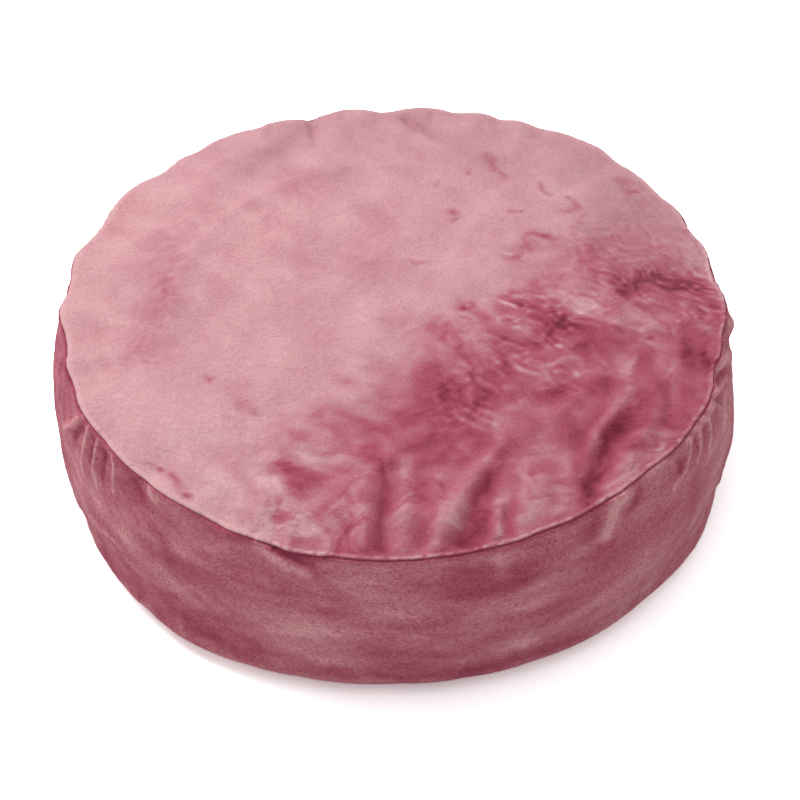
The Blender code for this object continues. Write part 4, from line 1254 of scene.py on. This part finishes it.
def pileGrainGroup():    # short pile: tufts, fibres and painted shade in the gaps between them
    group, start, end = newGroup("pile grain and gap shade", [
        ("Vector", "NodeSocketVector", None),
        ("Tuft Size", "NodeSocketFloat", 3.0),
        ("Gaps", "NodeSocketFloat", 0.5),
        ("Squeeze", "NodeSocketVector", (1.0, 1.0, 1.0)),
    ], [("Grain And Gap Shade", "NodeSocketFloat"), ("Height", "NodeSocketFloat"), ("Brushing", "NodeSocketFloat")])
    swirl = addNode(group, "ShaderNodeTexNoise", (-700, 300),
                    {"Scale": 16.0, "Detail": 2.0, "Roughness": 0.5})
    lean = addNode(group, "ShaderNodeVectorMath", (-500, 300), {1: (0.5, 0.5, 0.5)}, operation="SUBTRACT")
    push = addNode(group, "ShaderNodeVectorMath", (-340, 300), {"Scale": 0.02}, operation="SCALE")
    shifted = addNode(group, "ShaderNodeVectorMath", (-260, 300), operation="ADD")
    bent = addNode(group, "ShaderNodeVectorMath", (-140, 300), operation="MULTIPLY")
    rate = addNode(group, "ShaderNodeMath", (-700, -120), {0: 1000.0}, operation="DIVIDE")
    fibreRate = addNode(group, "ShaderNodeMath", (-500, -120), {1: 2.6}, operation="MULTIPLY")
    tuft = addNode(group, "ShaderNodeTexNoise", (0, 200),
                   {"Detail": 3.0, "Roughness": 0.6, "Distortion": 0.25})
    fibre = addNode(group, "ShaderNodeTexNoise", (0, -100),
                    {"Detail": 2.0, "Roughness": 0.6, "Distortion": 0.2})
    brushed = addNode(group, "ShaderNodeTexNoise", (0, -400),
                      {"Scale": 55.0, "Detail": 4.0, "Roughness": 0.6, "Distortion": 0.15})
    both = addNode(group, "ShaderNodeMath", (220, 60), {1: 0.7}, operation="MULTIPLY")
    fine = addNode(group, "ShaderNodeMath", (220, -120), {1: 0.3}, operation="MULTIPLY")
    height = addNode(group, "ShaderNodeMath", (400, 0), operation="ADD")
    # painted shade: the low gaps between tufts are darkened
    gap = addNode(group, "ShaderNodeMapRange", (560, 200),
                  {"From Min": 0.28, "From Max": 0.5, "To Min": -1.0, "To Max": 0.0})
    gapped = addNode(group, "ShaderNodeMath", (720, 200), operation="MULTIPLY")
    grain = addNode(group, "ShaderNodeMath", (740, 0), operation="ADD")
    linkAll(group,
            (start.outputs["Vector"], swirl.inputs["Vector"]), (swirl.outputs["Color"], lean.inputs[0]),
            (lean.outputs[0], push.inputs[0]), (push.outputs[0], shifted.inputs[0]),
            (start.outputs["Vector"], shifted.inputs[1]), (shifted.outputs[0], bent.inputs[0]),
            (start.outputs["Squeeze"], bent.inputs[1]), (start.outputs["Tuft Size"], rate.inputs[1]),
            (rate.outputs[0], tuft.inputs["Scale"]), (rate.outputs[0], fibreRate.inputs[0]),
            (fibreRate.outputs[0], fibre.inputs["Scale"]), (bent.outputs[0], tuft.inputs["Vector"]),
            (bent.outputs[0], fibre.inputs["Vector"]), (start.outputs["Vector"], brushed.inputs["Vector"]),
            (tuft.outputs["Fac"], both.inputs[0]), (fibre.outputs["Fac"], fine.inputs[0]),
            (both.outputs[0], height.inputs[0]), (fine.outputs[0], height.inputs[1]),
            (height.outputs[0], gap.inputs["Value"]), (gap.outputs[0], gapped.inputs[0]),
            (start.outputs["Gaps"], gapped.inputs[1]), (height.outputs[0], grain.inputs[0]),
            (gapped.outputs[0], grain.inputs[1]), (grain.outputs[0], end.inputs["Grain And Gap Shade"]),
            (height.outputs[0], end.inputs["Height"]), (brushed.outputs["Fac"], end.inputs["Brushing"]))
    return group


plush = {
    "tones": [    # lie of the pile, painted as light and shade, red, green, blue
        (0.00, 122, 36, 58),
        (0.20, 152, 54, 78),
        (0.40, 178, 80, 102),
        (0.60, 193, 110, 127),
        (0.84, 210, 150, 157),
        (1.00, 230, 178, 182),
    ],
    # a darker, more saturated copy of the tones: painted shade on the upright band
    "bandShadedTones": [
        (0.00, 126, 50, 68),
        (0.20, 148, 62, 82),
        (0.40, 170, 80, 98),
        (0.60, 189, 102, 118),
        (0.84, 211, 138, 147),
        (1.00, 232, 168, 172),
    ],
    "cool": (178, 124, 138),
    "exposure": 0.88,            # shades the swatch colours down to what the cloth itself reflects
    "sheen": 0.12,
    "sheenTint": (1.0, 0.62, 0.68, 1.0),
    "bumpDepth": 2.6 * mm,
}


def plushMaterial(name, tones, grainAmount, brushAmount, gapShade, tuftSize, squeeze, richness):
    material, tree = newMaterial(name)
    lay = addNode(tree, "ShaderNodeAttribute", (-1200, 200), attribute_name="lay")
    napShading = addNode(tree, "ShaderNodeAttribute", (-1200, 0), attribute_name="napShading")
    cool = addNode(tree, "ShaderNodeAttribute", (-1200, -200), attribute_name="cool")
    pile = addNode(tree, "ShaderNodeGroup", (-1000, 200), node_tree=grainGroup)
    pile.inputs["Tuft Size"].default_value = tuftSize
    pile.inputs["Gaps"].default_value = gapShade
    pile.inputs["Squeeze"].default_value = squeeze
    grain = addNode(tree, "ShaderNodeMath", (-800, 240), {1: 0.5}, operation="SUBTRACT")
    grainScaled = addNode(tree, "ShaderNodeMath", (-640, 240), {1: grainAmount}, operation="MULTIPLY")
    brush = addNode(tree, "ShaderNodeMath", (-800, 60), {1: 0.5}, operation="SUBTRACT")
    brushScaled = addNode(tree, "ShaderNodeMath", (-640, 60), {1: brushAmount}, operation="MULTIPLY")
    first = addNode(tree, "ShaderNodeMath", (-480, 160), operation="ADD")
    lie = addNode(tree, "ShaderNodeMath", (-320, 100), operation="ADD")
    ramp = addNode(tree, "ShaderNodeValToRGB", (-160, 120))
    stops = ramp.color_ramp.elements
    while len(stops) < len(tones):
        stops.new(0.5)
    for stop, (place, *tone) in zip(stops, tones):
        stop.position = place
        stop.color = linear(tone, plush["exposure"])
    rich = addNode(tree, "ShaderNodeHueSaturation", (60, 240), {"Saturation": richness})
    grey = addNode(tree, "ShaderNodeMix", (160, 120), data_type="RGBA")
    grey.inputs["B"].default_value = linear(plush["cool"], plush["exposure"])
    greyAmount = addNode(tree, "ShaderNodeMath", (0, -120), {1: 0.55}, operation="MULTIPLY")
    bump = addNode(tree, "ShaderNodeBump", (160, -260), {"Strength": 0.7, "Distance": plush["bumpDepth"]})
    rough = addNode(tree, "ShaderNodeMapRange", (160, -80), {"To Min": 0.95, "To Max": 0.75})
    shader = addNode(tree, "ShaderNodeBsdfPrincipled", (400, 100), {
        "Specular IOR Level": 0.25, "Sheen Weight": plush["sheen"], "Sheen Roughness": 0.45,
        "Sheen Tint": plush["sheenTint"]})
    out = addNode(tree, "ShaderNodeOutputMaterial", (700, 100))
    linkAll(tree,
            (lay.outputs["Vector"], pile.inputs["Vector"]), (pile.outputs["Grain And Gap Shade"], grain.inputs[0]),
            (grain.outputs[0], grainScaled.inputs[0]), (pile.outputs["Brushing"], brush.inputs[0]),
            (brush.outputs[0], brushScaled.inputs[0]), (grainScaled.outputs[0], first.inputs[0]),
            (brushScaled.outputs[0], first.inputs[1]), (first.outputs[0], lie.inputs[0]),
            (napShading.outputs["Fac"], lie.inputs[1]), (lie.outputs[0], ramp.inputs["Fac"]),
            (ramp.outputs["Color"], rich.inputs["Color"]), (rich.outputs["Color"], grey.inputs["A"]),
            (cool.outputs["Fac"], greyAmount.inputs[0]), (greyAmount.outputs[0], grey.inputs["Factor"]),
            (grey.outputs["Result"], shader.inputs["Base Color"]),
            (pile.outputs["Height"], bump.inputs["Height"]),
            (bump.outputs["Normal"], shader.inputs["Normal"]),
            (pile.outputs["Grain And Gap Shade"], rough.inputs["Value"]), (rough.outputs[0], shader.inputs["Roughness"]),
            (shader.outputs[0], out.inputs["Surface"]))
    return material


print("materials")
grainGroup = pileGrainGroup()
topPlush = plushMaterial("plush top", plush["tones"], 0.30, 0.09, 0.2, 2.6, (0.8, 1.0, 1.0), 1.0)
# the band gets the shaded copy of the tones and richer colour: painted shade on the upright band
shadedBandPlush = plushMaterial("plush band shaded", plush["bandShadedTones"], 0.74, 0.08, 0.3, 1.9, (0.55, 0.55, 1.0), 1.06)
for panel, piece in coverPieces.items():
    piece.data.materials.clear()
    piece.data.materials.append(topPlush if panel == 0 else shadedBandPlush)


# other materials

def weaveGroup():    # crossed yarns: two sets of waves, one over the other
    group, start, end = newGroup("weave", [
        ("Vector", "NodeSocketVector", None),
        ("Yarn Size", "NodeSocketFloat", 0.5),
    ], [("Over", "NodeSocketFloat"), ("Height", "NodeSocketFloat"), ("Slub", "NodeSocketFloat")])
    rate = addNode(group, "ShaderNodeMath", (-700, -100), {0: 500.0}, operation="DIVIDE")
    yarn = {"Distortion": 0.6, "Detail": 1.0}
    warp = addNode(group, "ShaderNodeTexWave", (-300, 200), yarn, bands_direction="Z")
    weft = addNode(group, "ShaderNodeTexWave", (-300, -100), yarn, bands_direction="DIAGONAL")
    slub = addNode(group, "ShaderNodeTexNoise", (-300, -400), {"Scale": 240.0, "Detail": 3.0})
    over = addNode(group, "ShaderNodeMath", (0, 100), operation="MULTIPLY")
    height = addNode(group, "ShaderNodeMath", (200, 0), operation="MAXIMUM")
    linkAll(group,
            (start.outputs["Yarn Size"], rate.inputs[1]), (start.outputs["Vector"], warp.inputs["Vector"]),
            (start.outputs["Vector"], weft.inputs["Vector"]),
            (start.outputs["Vector"], slub.inputs["Vector"]),
            (rate.outputs[0], warp.inputs["Scale"]), (rate.outputs[0], weft.inputs["Scale"]),
            (warp.outputs["Fac"], over.inputs[0]), (weft.outputs["Fac"], over.inputs[1]),
            (warp.outputs["Fac"], height.inputs[0]), (weft.outputs["Fac"], height.inputs[1]),
            (over.outputs[0], end.inputs["Over"]), (height.outputs[0], end.inputs["Height"]),
            (slub.outputs["Fac"], end.inputs["Slub"]))
    return group


def wovenMaterial(name, shade, light, yarn, rough, sheen, bumpDepth, marked):
    material, tree = newMaterial(name)
    place = (addNode(tree, "ShaderNodeAttribute", (-900, 100), attribute_name="lay") if marked
             else addNode(tree, "ShaderNodeTexCoord", (-900, 100)))
    cloth = addNode(tree, "ShaderNodeGroup", (-650, 100), node_tree=clothWeave)
    cloth.inputs["Yarn Size"].default_value = yarn
    tone = addNode(tree, "ShaderNodeMix", (-350, 150), data_type="RGBA")
    tone.inputs["A"].default_value = linear(shade)
    tone.inputs["B"].default_value = linear(light)
    uneven = addNode(tree, "ShaderNodeMath", (-500, 0), operation="MULTIPLY")
    lift = addNode(tree, "ShaderNodeMath", (-430, -120), {1: 0.5}, operation="ADD")
    roughness = addNode(tree, "ShaderNodeMapRange", (-350, -100),
                        {"To Min": rough + 0.1, "To Max": rough - 0.05})
    bump = addNode(tree, "ShaderNodeBump", (-350, -350), {"Strength": 0.8, "Distance": bumpDepth})
    shader = addNode(tree, "ShaderNodeBsdfPrincipled", (0, 100), {
        "Specular IOR Level": 0.3, "Sheen Weight": sheen, "Sheen Roughness": 0.4})
    out = addNode(tree, "ShaderNodeOutputMaterial", (300, 100))
    linkAll(tree,
            (place.outputs["Vector" if marked else "Object"], cloth.inputs["Vector"]),
            (cloth.outputs["Slub"], lift.inputs[0]), (cloth.outputs["Height"], uneven.inputs[0]),
            (lift.outputs[0], uneven.inputs[1]), (uneven.outputs[0], tone.inputs["Factor"]),
            (tone.outputs["Result"], shader.inputs["Base Color"]),
            (cloth.outputs["Over"], roughness.inputs["Value"]),
            (roughness.outputs[0], shader.inputs["Roughness"]),
            (cloth.outputs["Height"], bump.inputs["Height"]),
            (bump.outputs["Normal"], shader.inputs["Normal"]), (shader.outputs[0], out.inputs["Surface"]))
    return material


def speckGroup():    # fine specks, drawn out along a direction: twist of a thread, brushed metal, fibre
    group, start, end = newGroup("specks", [
        ("Vector", "NodeSocketVector", None),
        ("Scale", "NodeSocketFloat", 1000.0),
        ("Stretch", "NodeSocketVector", (1.0, 1.0, 1.0)),
    ], [("Speck", "NodeSocketFloat")])
    squeeze = addNode(group, "ShaderNodeMapping", (-500, 0))
    speck = addNode(group, "ShaderNodeTexNoise", (0, 0), {"Detail": 4.0, "Roughness": 0.65})
    linkAll(group,
            (start.outputs["Vector"], squeeze.inputs["Vector"]),
            (start.outputs["Stretch"], squeeze.inputs["Scale"]),
            (start.outputs["Scale"], speck.inputs["Scale"]), (squeeze.outputs[0], speck.inputs["Vector"]),
            (speck.outputs["Fac"], end.inputs["Speck"]))
    return group


def speckledMaterial(name, shade, light, scale, rough, metal=0.0, bumpDepth=0.05 * mm, stretch=(1, 1, 1)):
    material, tree = newMaterial(name)
    place = addNode(tree, "ShaderNodeTexCoord", (-900, 100))
    speck = addNode(tree, "ShaderNodeGroup", (-620, 100), node_tree=specks)
    speck.inputs["Scale"].default_value = scale
    speck.inputs["Stretch"].default_value = stretch
    tone = addNode(tree, "ShaderNodeMix", (-280, 150), data_type="RGBA")
    tone.inputs["A"].default_value = linear(shade)
    tone.inputs["B"].default_value = linear(light)
    roughness = addNode(tree, "ShaderNodeMapRange", (-280, -100),
                        {"From Min": 0.3, "From Max": 0.7, "To Min": rough - 0.08, "To Max": rough + 0.1})
    bump = addNode(tree, "ShaderNodeBump", (-280, -350), {"Strength": 0.6, "Distance": bumpDepth})
    shader = addNode(tree, "ShaderNodeBsdfPrincipled", (0, 100),
                     {"Metallic": metal, "Specular IOR Level": 0.4})
    out = addNode(tree, "ShaderNodeOutputMaterial", (300, 100))
    linkAll(tree,
            (place.outputs["Object"], speck.inputs["Vector"]), (speck.outputs[0], tone.inputs["Factor"]),
            (tone.outputs["Result"], shader.inputs["Base Color"]),
            (speck.outputs[0], roughness.inputs["Value"]),
            (roughness.outputs[0], shader.inputs["Roughness"]), (speck.outputs[0], bump.inputs["Height"]),
            (bump.outputs["Normal"], shader.inputs["Normal"]),
            (shader.outputs[0], out.inputs["Surface"]))
    return material


clothWeave = weaveGroup()
specks = speckGroup()
tapeCloth = wovenMaterial("zip tape weave", (112, 44, 60), (160, 84, 100), 0.55, 0.8, 0.1, 0.15 * mm, False)
linerCloth = wovenMaterial("liner cotton", (206, 200, 190), (238, 234, 226), 0.7, 0.85, 0.05, 0.12 * mm,
                           True)
satin = wovenMaterial("label satin", (208, 204, 198), (236, 233, 228), 0.25, 0.42, 0.1, 0.04 * mm, True)
fibre = speckledMaterial("filling fibre", (214, 212, 208), (250, 249, 246), 260.0, 0.9, bumpDepth=1.5 * mm)
threadTone = speckledMaterial("thread twist", (126, 48, 66), (178, 96, 112), 2400.0, 0.62,
                              stretch=(1, 1, 2.5))
coilTone = speckledMaterial("coil nylon", (120, 50, 66), (164, 90, 106), 900.0, 0.36)
metalTone = speckledMaterial("slider nickel", (112, 109, 106), (168, 165, 161), 1500.0, 0.34, 1.0, 0.02 * mm,
                             (1, 1, 6))

for pieces, material in ((linerPieces, linerCloth), ([filling], fibre), (threadPieces, threadTone),
                         (coilPieces, coilTone), (metalPieces, metalTone), ([labelPiece], satin)):
    for piece in pieces:
        piece.data.materials.clear()
        piece.data.materials.append(material)
for piece in tapePieces:
    for slot in piece.material_slots:
        slot.material = tapeCloth


# studio

studio = {
    "distance": 2.6,
    "elevation": 45.2,
    "aim": (0.0048, 0.047),        # metres right and up of the cushion's middle, across the view
    "fieldOfView": 2 * math.degrees(math.atan(400 / 2437)),
    "floorTone": (0.845, 0.9, 0.9),
    "floorLift": 2.7,              # how much paler the camera sees the floor
    "sky": 0.62,
    "keyPlace": (-1.3, 1.2, 2.4),
    "keySize": 2.2,
    "keyPower": 62,
}


def buildStudio():
    rise = math.radians(studio["elevation"])
    back, up = Vector((0, -math.cos(rise), math.sin(rise))), Vector((0, math.sin(rise), math.cos(rise)))
    aim = Vector((studio["aim"][0], 0, 0)) + up * studio["aim"][1]
    camera = bpy.data.objects.new("camera", bpy.data.cameras.new("camera"))
    camera.location = back * studio["distance"]
    camera.rotation_euler = (aim - camera.location).to_track_quat("-Z", "Y").to_euler()
    camera.data.angle = math.radians(studio["fieldOfView"])
    camera.data.clip_start, camera.data.clip_end = 0.05, 50
    bpy.context.scene.collection.objects.link(camera)
    bpy.context.scene.camera = camera

    floorMesh = bpy.data.meshes.new("floor")
    sheet = bmesh.new()
    bmesh.ops.create_grid(sheet, x_segments=2, y_segments=2, size=12)
    sheet.to_mesh(floorMesh)
    sheet.free()
    floor = meshObject("floor", floorMesh)
    paint = bpy.data.materials.new("studio floor")
    paint.use_nodes = True
    tree = paint.node_tree
    shader = tree.nodes["Principled BSDF"]
    for socket, value in (("Roughness", 1), ("Specular IOR Level", 0)):
        shader.inputs[socket].default_value = value
    path = addNode(tree, "ShaderNodeLightPath", (-600, 0))
    seen = addNode(tree, "ShaderNodeMapRange", (-400, 0), {"To Min": 1.0, "To Max": studio["floorLift"]})
    tone = addNode(tree, "ShaderNodeVectorMath", (-200, 0), {0: studio["floorTone"]}, operation="SCALE")
    linkAll(tree,
            (path.outputs["Is Camera Ray"], seen.inputs["Value"]), (seen.outputs[0], tone.inputs["Scale"]),
            (tone.outputs[0], shader.inputs["Base Color"]))
    floorMesh.materials.append(paint)

    world = bpy.data.worlds.new("studio")
    world.use_nodes = True
    sky = world.node_tree.nodes["Background"]
    sky.inputs["Color"].default_value = (1, 1, 1, 1)
    skyTree = world.node_tree
    skyPath = addNode(skyTree, "ShaderNodeLightPath", (-500, 0))
    skyLevel = addNode(skyTree, "ShaderNodeMapRange", (-300, 0), {"To Min": studio["sky"], "To Max": 1.0})
    linkAll(skyTree,
            (skyPath.outputs["Is Camera Ray"], skyLevel.inputs["Value"]),
            (skyLevel.outputs[0], sky.inputs["Strength"]))
    bpy.context.scene.world = world
    lamp = bpy.data.lights.new("key", "AREA")
    lamp.size, lamp.energy = studio["keySize"], studio["keyPower"]
    key = bpy.data.objects.new("key", lamp)
    key.location = studio["keyPlace"]
    key.rotation_euler = (-Vector(studio["keyPlace"])).to_track_quat("-Z", "Y").to_euler()
    bpy.context.scene.collection.objects.link(key)
    bpy.context.scene.view_settings.view_transform = "Standard"


print("studio")
buildStudio()
